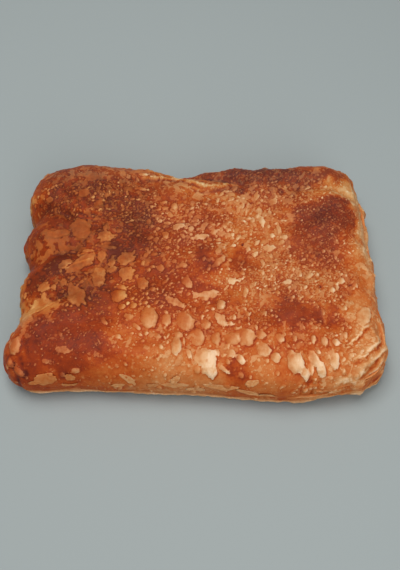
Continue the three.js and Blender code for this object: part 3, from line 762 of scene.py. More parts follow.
    torn: tuple[Row, ...] = (
        (-61, -51, 6.5, 3.6, -8, 0.4, 0.7), (4, -20.3, 12, 3.6, 8, 0.6, 0.8),
        (-10.5, -25, 10.6, 3.8, -25, 0.7, 0.72), (-32, -33.5, 5.4, 3.2, -20, 0.6, 0.47),
        (-34.4, -8.6, 8.4, 7, 70, 0.7, 0.66), (-48, -10, 13, 7.5, 95, 0.9, 0.69),
        (11.2, -34.5, 9.8, 4.2, -55, 1.1, 0.85), (16.8, -13.4, 4.8, 3.6, 0, 0.8, 0.85),
        (13.8, -17, 4.2, 1.3, 55, 0.6, 0.85), (44, -13.4, 4.5, 3.2, 0, 0.7, 0.9),
        (44.2, -17, 2.4, 1.6, 60, 0.5, 0.8), (1, 13.2, 7.6, 3.8, 3, 0.8, 0.85),
        (-3.2, 17.6, 4.6, 3, 85, 0.7, 0.9), (-9.6, 20, 7.2, 4.6, 20, 0.9, 0.9),
        (-58.8, 38, 6, 5, 0, 0.5, 0.46), (-55, 48, 8, 6.5, 0, 0.5, 0.43), (-76.6, 36.7, 4, 3, 0, 0.5, 0.51),
        (-59, 18.5, 13, 10, -55, 0.7, 0.53), (-70, 14.5, 13, 4.5, 20, 0.6, 0.54),
        (-46.3, 13.5, 8, 7, 10, 0.8, 0.72), (-57, -1.5, 17, 6, 38, 0.9, 0.58),
        (-55, 5.4, 6, 1.9, -12, 0.5, 0.75), (-65, -2.9, 7, 4.6, 25, 0.7, 0.75),
        (-63.8, 3.2, 3.5, 1.3, -60, 0.4, 0.63), (-59.5, 3.8, 4, 1.6, -65, 0.4, 0.63),
        (-67, 5.2, 2.5, 1.6, 20, 0.4, 0.58), (-70.5, 5.5, 3, 1.6, 60, 0.4, 0.54),
        (-62, 6.3, 3, 1.5, 0, 0.4, 0.58), (-42, -1.5, 5, 4.3, 90, 0.7, 0.66),
        (-35, 0.2, 9.5, 7.5, 35, 0.8, 0.66), (-31.8, 3.6, 4, 1.7, 65, 0.5, 0.63),
        (-41.8, -5.8, 5.6, 4.4, 0, 0.7, 0.69), (-47.5, 2.4, 5.6, 5, 90, 0.6, 0.54),
        (-43.5, 7, 7, 2.4, -5, 0.6, 0.54), (-25.5, 2, 3.6, 2.2, 60, 0.5, 0.58),
        (-57.8, -21.6, 13.5, 8.4, -60, 1.1, 0.66), (-74, -15.8, 6.4, 5.6, 20, 0.7, 0.69),
        (-69, -16.6, 3.6, 3, 90, 0.6, 0.69), (-64.6, -13.5, 5, 3.2, 100, 0.6, 0.63),
        (-76, -26.5, 16, 9, 12, 0.7, 0.66), (-80, -33, 10, 6, -62, 0.6, 0.55),
        (-60.5, -10.5, 3, 2, 30, 0.5, 0.58), (-56, -13, 3, 2.4, 70, 0.5, 0.58),
        (-54.5, -7.5, 3, 1.7, -20, 0.5, 0.54), (-44.8, -47, 3.4, 1.0, -60, 0.4, 0.7),
        (-68.8, -54.8, 4.8, 2.4, -10, 0.5, 0.7), (-55.4, -58, 5.4, 2.8, 30, 0.5, 0.72),
    )
    fields: tuple[BlisterField, ...] = (
        BlisterField(-12, 16, 16, 18, 300, 0.35, 1.3, 0.85),
        BlisterField(8, 15, 14, 12, 260, 0.35, 1.3, 0.9), BlisterField(-4, 16, 18, 7, 320, 0.5, 1.2, 0.8),
        BlisterField(28, 30, 18, 18, 320, 0.35, 1.5, 0.8), BlisterField(34, 8, 12, 8, 150, 0.4, 1.5, 0.75),
        BlisterField(54, -10, 24, 16, 1000, 0.35, 1.1, 0.78),
        BlisterField(28, -12, 14, 8, 300, 0.35, 0.9, 0.9),
        BlisterField(-36, 36, 18, 14, 380, 0.35, 0.9, 1.0),
        BlisterField(-64, 40, 20, 16, 260, 0.35, 0.9, 0.85),
        BlisterField(-26, -18, 14, 10, 240, 0.4, 1.1, 0.85),
        BlisterField(-12, -26, 12, 8, 160, 0.4, 1.0, 0.85),
        BlisterField(0, -12, 18, 12, 180, 0.35, 1.0, 0.85),
        BlisterField(15, -38, 28, 14, 220, 0.35, 1.0, 0.8),
        BlisterField(62, -45, 22, 14, 200, 0.4, 1.0, 0.78),
        BlisterField(66, 20, 18, 20, 620, 0.26, 0.62, 0.95),
        BlisterField(50, 42, 22, 10, 260, 0.35, 1.1, 0.7), BlisterField(30, 56, 30, 6, 160, 0.35, 0.8, 0.6),
        BlisterField(-40, 6, 20, 14, 160, 0.35, 0.9, 0.6),
        BlisterField(-62, -12, 16, 14, 200, 0.35, 0.9, 0.6),
        BlisterField(-58, -42, 28, 14, 170, 0.33, 0.68, 0.9),
        BlisterField(0, 0, 84, 60, 700, 0.3, 0.7, 0.7), BlisterField(6, 28, 20, 8, 240, 0.45, 1.2, 0.8),
        BlisterField(-16, 26, 14, 7, 200, 0.45, 1.1, 0.85),
        BlisterField(33, 27, 11, 18, 150, 1.0, 2.3, 0.74), BlisterField(38, 6, 11, 9, 80, 1.0, 2.2, 0.7),
        BlisterField(58, -6, 16, 7, 90, 0.9, 1.8, 0.7), BlisterField(4, 18, 18, 7, 70, 0.9, 1.9, 0.76),
    )
    crumb_line: float = -6.0
    crumb_pale: float = 0.86
    overlap: float = 0.15
    oblong: Pair = (1.0, 1.45)
    steepness: Pair = (0.5, 0.75)
    vary: Pair = (0.6, 1.35)
    side_count: int = 260
    side_heights: Pair = (4.0, 22.0)
    side_radius: float = 0.6
    side_spread: float = 1.0
    side_length: float = 2.4
    side_rise: float = 0.55
    side_pale: Pair = (0.3, 0.8)

    def raise_on(self, skin: Skin, rng: np.random.Generator) -> int:
        """Raises every blister on the skin.

        Args:
            skin: The crust's points.
            rng: The seeded source of chance.

        Returns:
            How many blisters there are.
        """
        blisters = [Blister(*row) for row in self.bubbles]
        blisters = [b._replace(kind=self._kind(b.y), pale=b.pale * self._fade(b.y)) for b in blisters]
        blisters += [Blister(*row, BlisterKind.TORN) for row in self.torn]
        most = len(blisters) + sum(field.count for field in self.fields)
        taken = np.zeros((most, 3))
        for index, blister in enumerate(blisters):
            taken[index] = blister.x, blister.y, (blister.length + blister.breadth) / 4
        for field in self.fields:
            for _ in range(field.count):
                blister = self._scattered(field, rng)
                radius = (blister.length + blister.breadth) / 4
                placed = taken[: len(blisters)]
                gaps = np.hypot(placed[:, 0] - blister.x, placed[:, 1] - blister.y) - placed[:, 2] - radius
                if gaps.min() > -self.overlap * radius:
                    taken[len(blisters)] = blister.x, blister.y, radius
                    blisters.append(blister)
        for blister in blisters:
            seat = self.form.seat(blister.x, blister.y)
            skin.raise_blister(*seat, blister, rng.uniform(0, TURN, OUTLINE_TEETH))
        self._raise_on_side(skin, rng)
        return len(blisters) + self.side_count

    def _kind(self, y: float) -> BlisterKind:
        """The kind of the blisters at a place: round at the front, flatter at the back."""
        return BlisterKind.CRUMB if y > self.crumb_line else BlisterKind.BUBBLE

    def _fade(self, y: float) -> float:
        """How much duller the blisters at a place are."""
        return self.crumb_pale if y > self.crumb_line else 1.0

    def _scattered(self, field: BlisterField, rng: np.random.Generator) -> Blister:
        """Draws one small blister of a field.

        Args:
            field: The field that it belongs to.
            rng: The seeded source of chance.

        Returns:
            The blister.
        """
        bearing, out = rng.uniform(0, TURN), math.sqrt(rng.uniform())
        radius = field.smallest + (field.largest - field.smallest) * rng.uniform() ** 2
        return Blister(
            field.x + field.along * out * math.cos(bearing),
            field.y + field.across * out * math.sin(bearing),
            2 * radius * rng.uniform(*self.oblong),
            2 * radius,
            rng.uniform(0, 180),
            radius * rng.uniform(*self.steepness),
            field.pale * self._fade(field.y) * rng.uniform(*self.vary),
            self._kind(field.y),
        )

    def _raise_on_side(self, skin: Skin, rng: np.random.Generator) -> None:
        """Scatters small blisters round the side.

        Args:
            skin: The crust's points.
            rng: The seeded source of chance.
        """
        bearing = rng.uniform(-math.pi, math.pi, self.side_count)
        points, facing = self.form.side(bearing, rng.uniform(*self.side_heights, self.side_count))
        for point, normal in zip(points, facing):
            radius = self.side_radius + self.side_spread * rng.uniform() ** 2
            turn = rng.uniform(0, 180)
            pale = rng.uniform(*self.side_pale)
            length, rise = self.side_length * radius, self.side_rise * radius
            blister = Blister(0, 0, length, 2 * radius, turn, rise, pale)
            skin.raise_blister(point, normal, blister, rng.uniform(0, TURN, OUTLINE_TEETH))


class Bench:
    """Places shader nodes in one tree and joins them."""

    def __init__(self, tree: bpy.types.NodeTree) -> None:
        """Takes over a tree and clears it."""
        self.tree = tree
        tree.nodes.clear()

    def place(self, kind: str, **settings: object) -> bpy.types.Node:
        """Adds a node.

        Args:
            kind: The node's type.
            settings: Attributes to set on it.

        Returns:
            The new node.
        """
        node = self.tree.nodes.new(kind)
        for name, value in settings.items():
            setattr(node, name, value)
        return node

    def feed(self, value: object, socket: Socket) -> None:
        """Joins a socket to another, or sets a plain value on it.

        Args:
            value: A socket or a plain value.
            socket: The socket that takes it.
        """
        if isinstance(value, bpy.types.NodeSocket):
            self.tree.links.new(value, socket)
        else:
            socket.default_value = value

    def fed(self, kind: str, output: str, inputs: dict[str, object], **settings: object) -> Socket:
        """Adds a node and feeds its inputs.

        Args:
            kind: The node's type.
            output: The name of the output that is wanted.
            inputs: What feeds its inputs, by name.
            settings: Attributes to set on it.

        Returns:
            The socket with the result.
        """
        node = self.place(kind, **settings)
        for name, value in inputs.items():
            self.feed(value, node.inputs[name])
        return node.outputs[output]

    def math(self, operation: str, *values: object, clamp: bool = False) -> Socket:
        """Adds a Math node.

        Args:
            operation: What it works out.
            values: Its inputs, as sockets or numbers.
            clamp: Whether its result stays between 0 and 1.

        Returns:
            The socket with the result.
        """
        node = self.place("ShaderNodeMath", operation=operation, use_clamp=clamp)
        for value, socket in zip(values, node.inputs):
            self.feed(value, socket)
        return node.outputs[0]

    def scaled(self, value: object, factor: object) -> Socket:
        """Multiplies two values."""
        return self.math("MULTIPLY", value, factor)

    def ease(self, value: object, low: float, high: float, start: float = 0.0, end: float = 1.0) -> Socket:
        """Eases a value from one number to another between two limits.

        Args:
            value: The socket to read.
            low: Where the result is still the first number.
            high: Where the result has become the second.
            start: The first number.
            end: The second number.

        Returns:
            The socket with the result.
        """
        inputs = {"Value": value, "From Min": low, "From Max": high, "To Min": start, "To Max": end}
        return self.fed("ShaderNodeMapRange", "Result", inputs, interpolation_type="SMOOTHSTEP")

    def noise(self, vector: object, scale: float, detail: float = 2.0, rough: float = 0.5) -> Socket:
        """Adds a noise texture.

        Args:
            vector: The socket with the coordinates.
            scale: Lumps per metre.
            detail: How many finer layers it has.
            rough: How strong the finer layers are.

        Returns:
            The socket with the noise, about 0.5.
        """
        inputs = {"Vector": vector, "Scale": scale, "Detail": detail, "Roughness": rough}
        return self.fed("ShaderNodeTexNoise", "Fac", inputs)

    def swing(self, vector: object, *grain: float) -> Socket:
        """Adds a noise texture that swings about 0."""
        return self.math("SUBTRACT", self.noise(vector, *grain), 0.5)

    def ramp(self, value: object, stops: Stops) -> Socket:
        """Adds a colour ramp.

        Args:
            value: The socket that it reads.
            stops: Its places, from 0 to 1, and the colour at each.

        Returns:
            The socket with the colour.
        """
        node = self.place("ShaderNodeValToRGB")
        self.feed(value, node.inputs["Fac"])
        elements = node.color_ramp.elements
        for index, (place, colour) in enumerate(stops):
            element = elements[index] if index < 2 else elements.new(place)
            element.position = place
            element.color = linear(*colour)
        return node.outputs["Color"]

    def bump(self, height: object, strength: float, depth: float) -> Socket:
        """Turns a height into small bumps of the surface.

        Args:
            height: The socket with the height.
            strength: How strong the bumps are, from 0 to 1.
            depth: How deep they are, in metres.

        Returns:
            The socket with the surface's new normal.
        """
        inputs = {"Strength": strength, "Distance": depth, "Height": height}
        return self.fed("ShaderNodeBump", "Normal", inputs)

    def attribute(self, name: str) -> Socket:
        """Reads one of the mesh's own attributes."""
        return self.place("ShaderNodeAttribute", attribute_name=name).outputs["Fac"]

    def group(self, tree: bpy.types.NodeTree, **values: object) -> Socket:
        """Places a shared group.

        Args:
            tree: The group's tree.
            values: What feeds its inputs, by name.

        Returns:
            The socket of its first output.
        """
        node = self.place("ShaderNodeGroup", node_tree=tree)
        for name, value in values.items():
            self.feed(value, node.inputs[name])
        return node.outputs[0]

    def surface(self, **inputs: object) -> None:
        """Adds the shader and joins it to the material's output.

        Args:
            inputs: What feeds the shader's inputs, by name, with underscores for spaces.
        """
        named = {name.replace("_", " "): value for name, value in inputs.items()}
        shader = self.fed("ShaderNodeBsdfPrincipled", "BSDF", named)
        self.feed(shader, self.place("ShaderNodeOutputMaterial").inputs["Surface"])


def linear(red: int, green: int, blue: int) -> tuple[float, float, float, float]:
    """Turns a colour as seen on a screen, 0 to 255, into linear light.

    Args:
        red: Its red.
        green: Its green.
        blue: Its blue.

    Returns:
        The linear colour, with an alpha of 1.
    """
    values = [c / 255 for c in (red, green, blue)]
    light = [c / 12.92 if c <= 0.04045 else ((c + 0.055) / 1.055) ** 2.4 for c in values]
    return (*light, 1.0)


def blank_material(name: str) -> tuple[bpy.types.Material, Bench]:
    """Makes a material with no nodes in it.

    Args:
        name: The material's name.

    Returns:
        The material and a bench for its nodes.
    """
    material = bpy.data.materials.new(name)
    material.use_nodes = True
    return material, Bench(material.node_tree)


class SharedGroup:
    """An effect that several materials share, as one shader node group with one output."""

    name: str
    inputs: Sockets
    output: str = "NodeSocketFloat"

    def tree(self) -> bpy.types.NodeTree:
        """Gives the group's tree.

        Returns:
            The tree, made the first time that it is asked for.
        """
        found = bpy.data.node_groups.get(self.name)
        if found:
            return found
        tree = bpy.data.node_groups.new(self.name, "ShaderNodeTree")
        for name, kind in self.inputs:
            tree.interface.new_socket(name, in_out="INPUT", socket_type=kind)
        tree.interface.new_socket("Result", in_out="OUTPUT", socket_type=self.output)
        bench = Bench(tree)
        result = self.wire(bench, bench.place("NodeGroupInput").outputs)
        bench.feed(result, bench.place("NodeGroupOutput").inputs["Result"])
        return tree

    def wire(self, bench: Bench, source: bpy.types.NodeOutputs) -> Socket:
        """Joins up the group's nodes and gives the socket with its result."""
        raise NotImplementedError


@dataclass(frozen=True)
class BakeColours(SharedGroup):
    """The colours of baked phyllo, from hardly baked (0) to very dark (1)."""

    name: str = "bake_colours"
    inputs: Sockets = (("Bake", "NodeSocketFloat"),)
    output: str = "NodeSocketColor"
    stops: Stops = (
        (0.0, (232, 192, 150)), (0.1, (218, 166, 116)), (0.2, (207, 145, 92)), (0.3, (197, 122, 68)),
        (0.4, (191, 107, 52)), (0.5, (183, 90, 37)), (0.6, (172, 74, 28)), (0.7, (151, 58, 24)),
        (0.8, (135, 51, 25)), (0.9, (117, 45, 27)), (1.0, (95, 38, 28)),
    )

    def wire(self, bench: Bench, source: bpy.types.NodeOutputs) -> Socket:
        """Reads the colour off a ramp."""
        return bench.ramp(source["Bake"], self.stops)


@dataclass(frozen=True)
class Mottle(SharedGroup):
    """The uneven browning of phyllo over a few millimetres: lumps per metre and weight of each layer."""

    name: str = "mottle"
    inputs: Sockets = (("Vector", "NodeSocketVector"),)
    layers: tuple[Pair, ...] = ((90.0, 0.16), (330.0, 0.22), (900.0, 0.24))

    def wire(self, bench: Bench, source: bpy.types.NodeOutputs) -> Socket:
        """Adds up the layers.

        Args:
            bench: The group's nodes.
            source: The group's inputs.

        Returns:
            The socket with the browning, about 0.
        """
        total: object = 0.0
        for scale, weight in self.layers:
            total = bench.math("ADD", bench.scaled(bench.swing(source["Vector"], scale), weight), total)
        return total


@dataclass(frozen=True)
class Specks(SharedGroup):
    """Tiny blisters, too small to model, as a mask: sizes are shares of the space that each one has."""

    name: str = "specks"
    inputs: Sockets = (
        ("Vector", "NodeSocketVector"), ("Scale", "NodeSocketFloat"), ("Share", "NodeSocketFloat"),
    )
    smallest: float = 0.16
    spread: float = 0.30
    softness: float = 0.07
    sway: float = 0.0016
    sway_scale: float = 700.0
    choice_softness: float = 0.08
    faintest: float = 0.4

    def wire(self, bench: Bench, source: bpy.types.NodeOutputs) -> Socket:
        """Puts a dot in some of the cells of a swaying pattern.

        Args:
            bench: The group's nodes.
            source: The group's inputs.

        Returns:
            The socket with the mask, 1 on the strongest specks.
        """
        vector = source["Vector"]
        sway = bench.fed("ShaderNodeTexNoise", "Color", {"Vector": vector, "Scale": self.sway_scale})
        shift = bench.place("ShaderNodeVectorMath", operation="MULTIPLY_ADD")
        for value, socket in zip((sway, (self.sway,) * 3, vector), shift.inputs):
            bench.feed(value, socket)
        cells = bench.place("ShaderNodeTexVoronoi")
        bench.feed(shift.outputs["Vector"], cells.inputs["Vector"])
        bench.feed(source["Scale"], cells.inputs["Scale"])
        chance = bench.place("ShaderNodeSeparateColor")
        bench.feed(cells.outputs["Color"], chance.inputs["Color"])
        radius = bench.math("MULTIPLY_ADD", chance.outputs["Green"], self.spread, self.smallest)
        inside = bench.math("SUBTRACT", radius, cells.outputs["Distance"])
        dots = bench.ease(inside, -self.softness, self.softness)
        chosen = bench.math("SUBTRACT", source["Share"], chance.outputs["Red"])
        strength = bench.math("MULTIPLY_ADD", chance.outputs["Blue"], 1.0 - self.faintest, self.faintest)
        return bench.scaled(bench.scaled(dots, bench.ease(chosen, 0.0, self.choice_softness)), strength)


@dataclass(frozen=True)
class CrustFinish:
    """The baked, buttered top sheet: browned in patches, paler and duller where a blister lifted it.

    An ease says between which limits a value is eased, and from which number to which. A grain says how many
    lumps a noise has per metre, how many layers, and how strong the finer layers are.
    """

    name: str = "baked_crust"
    film_tones: Stops = (
        (0.0, (186, 108, 58)), (0.3, (198, 132, 84)), (0.5, (216, 162, 114)), (0.75, (224, 179, 136)),
        (1.0, (233, 196, 158)),
    )
    thinning: float = 0.4
    speck_scales: Pair = (560.0, 1150.0)
    speck_lift: float = 0.46
    fleck_grain: Grain = (420.0, 4.0, 0.68)
    fleck_fizz: float = 0.18
    fleck_ease: Ease = (0.685, 0.735)
    fleck_strength: Pair = (0.8, 0.15)
    rag_scale: float = 900.0
    rag_depth: float = 0.85
    rag_film: float = 0.9
    raised_ease: Ease = (-0.05, 0.25)
    rim_ease: Ease = (0.5, 1.6, 0.84, 0.74)
    streak_turn: float = 0.5
    streak_stretch: float = 0.2
    streak_scale: float = 1100.0
    streak_ease: Ease = (0.3, 0.7, 0.9, 1.08)
    uneven_scale: float = 260.0
    uneven_ease: Ease = (0.32, 0.68, 0.72, 1.16)
    film_ease: Ease = (-0.08, 0.16, 0.0, 0.34)
    patch_scale: float = 70.0
    patch_ease: Ease = (0.3, 0.7, 0.65, 1.2)
    browned_ease: Ease = (0.3, 0.95, 1.2, 0.62)
    leaf_grain: Grain = (620.0, 3.0)
    leaf_stretch: tuple[float, float, float] = (0.07, 0.07, 1.0)
    leaf_tone: float = 0.5
    # The moat fields set the painted shade round the blisters' edges.
    moat_ease: Ease = (-0.8, -0.15)
    moat_shade: float = 0.06
    moat_shade_aged: float = 0.05
    dry_tint: tuple[float, float, float, float] = (0.97, 1.3, 1.5, 1.0)
    toast_tint: tuple[float, float, float, float] = (1.0, 1.04, 0.77, 1.0)
    dry_soft: float = 0.55
    gloss_scale: float = 160.0
    gloss_weights: Pair = (0.8, 0.4)
    gloss_ease: Ease = (0.0, 1.2, 0.42, 0.58)
    specular: float = 0.06
    bump_grain: Grain = (1500.0, 3.0, 0.6)
    bump_weights: Pair = (0.35, 0.55)
    bump_strength: float = 0.6
    bump_depth: float = 0.0005

    def material(self) -> bpy.types.Material:
        """Makes the material.

        Returns:
            A material that reads the crust's own attributes.
        """
        material, bench = blank_material(self.name)
        place = bench.place("ShaderNodeTexCoord").outputs["Object"]
        dry, toast = bench.attribute("dry"), bench.attribute("toast")
        aged = bench.math("ADD", dry, toast, clamp=True)
        ragged = bench.scaled(bench.swing(place, self.rag_scale), self.rag_depth)
        depth = bench.math("ADD", bench.attribute("bubble"), ragged)
        raised = bench.ease(depth, *self.raised_ease)
        level = bench.math("SUBTRACT", 1.0, raised)
        bare = bench.scaled(self._specks(bench, place), level)
        blisters = self._blisters(bench, place, depth, raised)
        lifted = bench.math("MAXIMUM", blisters, self._film(bench, place, ragged, aged))
        lifted = bench.math("MAXIMUM", lifted, bench.scaled(bare, self.speck_lift))
        fading = bench.ease(bench.attribute("bake"), *self.browned_ease)
        lifted = bench.math("MULTIPLY", lifted, fading, clamp=True)
        # Painted shade: a thin dark ring just outside each blister, stronger where the top is dry or toasted.
        edge_shade = bench.scaled(bench.ease(depth, *self.moat_ease), level)
        edge_shade = bench.scaled(edge_shade, bench.math("MULTIPLY_ADD", aged, self.moat_shade_aged, self.moat_shade))
        bake = bench.math("ADD", edge_shade, self._browning(bench, place))
        bake = bench.math("MULTIPLY_ADD", lifted, -self.thinning, bake, clamp=True)
        base = bench.group(BakeColours().tree(), Bake=bake)
        colour = self._mixed(bench, lifted, base, bench.ramp(lifted, self.film_tones), "MIX")
        for share, tint in ((dry, self.dry_tint), (toast, self.toast_tint)):
            colour = self._mixed(bench, share, colour, tint, "MULTIPLY")
        grain_weight, speck_weight = self.bump_weights
        grain = bench.scaled(bench.noise(place, *self.bump_grain), grain_weight)
        height = bench.math("ADD", grain, bench.scaled(bare, speck_weight))
        raised_weight, chance_weight = self.gloss_weights
        chance = bench.scaled(bench.noise(place, self.gloss_scale), chance_weight)
        dull = bench.math("ADD", bench.scaled(raised, raised_weight), chance)
        bench.surface(
            Base_Color=colour,
            Roughness=bench.ease(dull, *self.gloss_ease),
            Normal=bench.bump(height, self.bump_strength, self.bump_depth),
            Specular_IOR_Level=self.specular,
        )
        return material

    def _specks(self, bench: Bench, place: Socket) -> Socket:
        """Adds the tiny blisters and ragged flecks.

        Args:
            bench: The material's nodes.
            place: The socket with the coordinates.

        Returns:
            The socket with their mask.
        """
        fizz = bench.attribute("fizz")
        dots = [bench.group(Specks().tree(), Vector=place, Scale=s, Share=fizz) for s in self.speck_scales]
        lumps = bench.noise(place, *self.fleck_grain)
        flecks = bench.ease(bench.math("MULTIPLY_ADD", fizz, self.fleck_fizz, lumps), *self.fleck_ease)
        flecks = bench.scaled(flecks, bench.math("MULTIPLY_ADD", fizz, *self.fleck_strength))
        return bench.math("MAXIMUM", bench.math("MAXIMUM", *dots), flecks)

    def _blisters(self, bench: Bench, place: Socket, depth: Socket, raised: Socket) -> Socket:
        """Finds how far the blisters lifted the sheet.

        Args:
            bench: The material's nodes.
            place: The socket with the coordinates.
            depth: The socket with how deep inside a blister each point lies.
            raised: The socket with the blisters' mask.

        Returns:
            The socket with the lift, streaked and uneven.
        """
        lifted = bench.scaled(raised, bench.attribute("pale"))
        lifted = bench.scaled(lifted, bench.ease(depth, *self.rim_ease))
        drawn = {
            "Vector": place,
            "Rotation": (0.0, 0.0, self.streak_turn),
            "Scale": (1.0, self.streak_stretch, 1.0),
        }
        streaks = bench.noise(bench.fed("ShaderNodeMapping", "Vector", drawn), self.streak_scale)
        lifted = bench.scaled(lifted, bench.ease(streaks, *self.streak_ease))
        return bench.scaled(lifted, bench.ease(bench.noise(place, self.uneven_scale), *self.uneven_ease))

    def _film(self, bench: Bench, place: Socket, ragged: Socket, aged: Socket) -> Socket:
        """Finds how far the top sheet came loose between the blisters.

        Args:
            bench: The material's nodes.
            place: The socket with the coordinates.
            ragged: The socket with the raggedness of edges.
            aged: The socket with how dry or toasted each point is.

        Returns:
            The socket with the lift, in patches.
        """
        loose = bench.math("MULTIPLY_ADD", ragged, self.rag_film, bench.attribute("film"))
        loose = bench.scaled(loose, bench.math("MULTIPLY_ADD", aged, -self.dry_soft, 1.0))
        patches = bench.ease(bench.noise(place, self.patch_scale), *self.patch_ease)
        return bench.scaled(bench.ease(loose, *self.film_ease), patches)

    def _browning(self, bench: Bench, place: Socket) -> Socket:
        """Adds the mottle and, on the side, the leaves of the dough to the browning.

        Args:
            bench: The material's nodes.
            place: The socket with the coordinates.

        Returns:
            The socket with the browning.
        """
        flat = bench.fed("ShaderNodeMapping", "Vector", {"Vector": place, "Scale": self.leaf_stretch})
        leaves = bench.scaled(bench.swing(flat, *self.leaf_grain), bench.attribute("side"))
        mottle = bench.group(Mottle().tree(), Vector=place)
        browned = bench.math("ADD", bench.attribute("bake"), mottle)
        return bench.math("MULTIPLY_ADD", leaves, self.leaf_tone, browned)

    def _mixed(self, bench: Bench, share: Socket, first: Socket, second: object, blend: str) -> Socket:
        """Mixes two colours.

        Args:
            bench: The material's nodes.
            share: The socket with the second colour's share.
            first: The socket with the first colour.
            second: The second colour, as a socket or a plain value.
            blend: How they are mixed.

        Returns:
            The socket with the mixed colour.
        """
        mix = bench.place("ShaderNodeMix", data_type="RGBA", blend_type=blend)
        for name, value in (("Factor", share), ("A", first), ("B", second)):
            bench.feed(value, mix.inputs[name])
        return mix.outputs["Result"]


@dataclass(frozen=True)
class SheetFinish:
    """Thin phyllo that stands free, as flakes and sheet edges do: dry, and paler towards its edge."""

    name: str = "dry_sheet"
    roughness: float = 0.62
    specular: float = 0.08
    mottle_share: float = 0.8
    speck_scale: float = 700.0
    speck_share: float = 0.35
    speck_lift: float = 0.08
    bump_grain: Grain = (1300.0, 3.0, 0.6)
    bump_strength: float = 0.5
    bump_depth: float = 0.0003

    def material(self) -> bpy.types.Material:
        """Makes the material.

        Returns:
            A material that reads the piece's own browning.
        """
        material, bench = blank_material(self.name)
        place = bench.place("ShaderNodeTexCoord").outputs["Object"]
        mottle = bench.scaled(bench.group(Mottle().tree(), Vector=place), self.mottle_share)
        specks = bench.group(Specks().tree(), Vector=place, Scale=self.speck_scale, Share=self.speck_share)
        bake = bench.math("ADD", bench.attribute("bake"), mottle)
        bake = bench.math("SUBTRACT", bake, bench.scaled(specks, self.speck_lift), clamp=True)
        height = bench.noise(place, *self.bump_grain)
        bench.surface(
            Base_Color=bench.group(BakeColours().tree(), Bake=bake),
            Roughness=self.roughness,
            Normal=bench.bump(height, self.bump_strength, self.bump_depth),
            Specular_IOR_Level=self.specular,
        )
        return material


def set_attribute(mesh: bpy.types.Mesh, name: str, values: Array) -> None:
    """Stores one number for each point of a mesh, as an attribute of that name."""
    mesh.attributes.new(name, "FLOAT", "POINT").data.foreach_set("value", values.astype(np.float32))


def vectors_of(items: bpy.types.bpy_prop_collection, name: str) -> Array:
    """Reads one vector of each item of a mesh.

    Args:
        items: The mesh's points, or their normals.
        name: The vector's name.

    Returns:
        The vectors, one in each row.
    """
    values = np.empty(len(items) * 3, np.float32)
    items.foreach_get(name, values)
    return values.reshape(-1, 3).astype(float)


def move_points(mesh: bpy.types.Mesh, places: Array) -> None:
    """Moves a mesh's points to new places."""
    mesh.vertices.foreach_set("co", places.astype(np.float32).ravel())
    mesh.update()


def settle(verts: list[bmesh.types.BMVert], bake: Layer, places: Array, tones: Array) -> None:
    """Moves points to their places and notes how brown each is.

    Args:
        verts: The points.
        bake: The layer with the browning of each point.
        places: Where they go, in millimetres.
        tones: How brown they are, from 0 to 1.
    """
    for vert, place, tone in zip(verts, places * MM, tones):
        vert.co = place
        vert[bake] = tone


def turned_out(bm: bmesh.types.BMesh, name: str) -> bpy.types.Mesh:
    """Turns all faces outwards and makes a mesh of them.

    Args:
        bm: The faces, which are freed.
        name: The mesh's name.

    Returns:
        The mesh.
    """
    bmesh.ops.recalc_face_normals(bm, faces=bm.faces)
    mesh = bpy.data.meshes.new(name)
    bm.to_mesh(mesh)
    bm.free()
    return mesh


def show(mesh: bpy.types.Mesh, material: bpy.types.Material) -> bpy.types.Object:
    """Makes a smooth object of a mesh and lets it ride with the pastry.

    Args:
        mesh: The finished mesh, in metres.
        material: Its finish.

    Returns:
        The object.
    """
    mesh.shade_smooth()
    mesh.materials.append(material)
    piece = bpy.data.objects.new(mesh.name, mesh)
    bpy.context.scene.collection.objects.link(piece)
    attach(piece, BODY)
    return piece


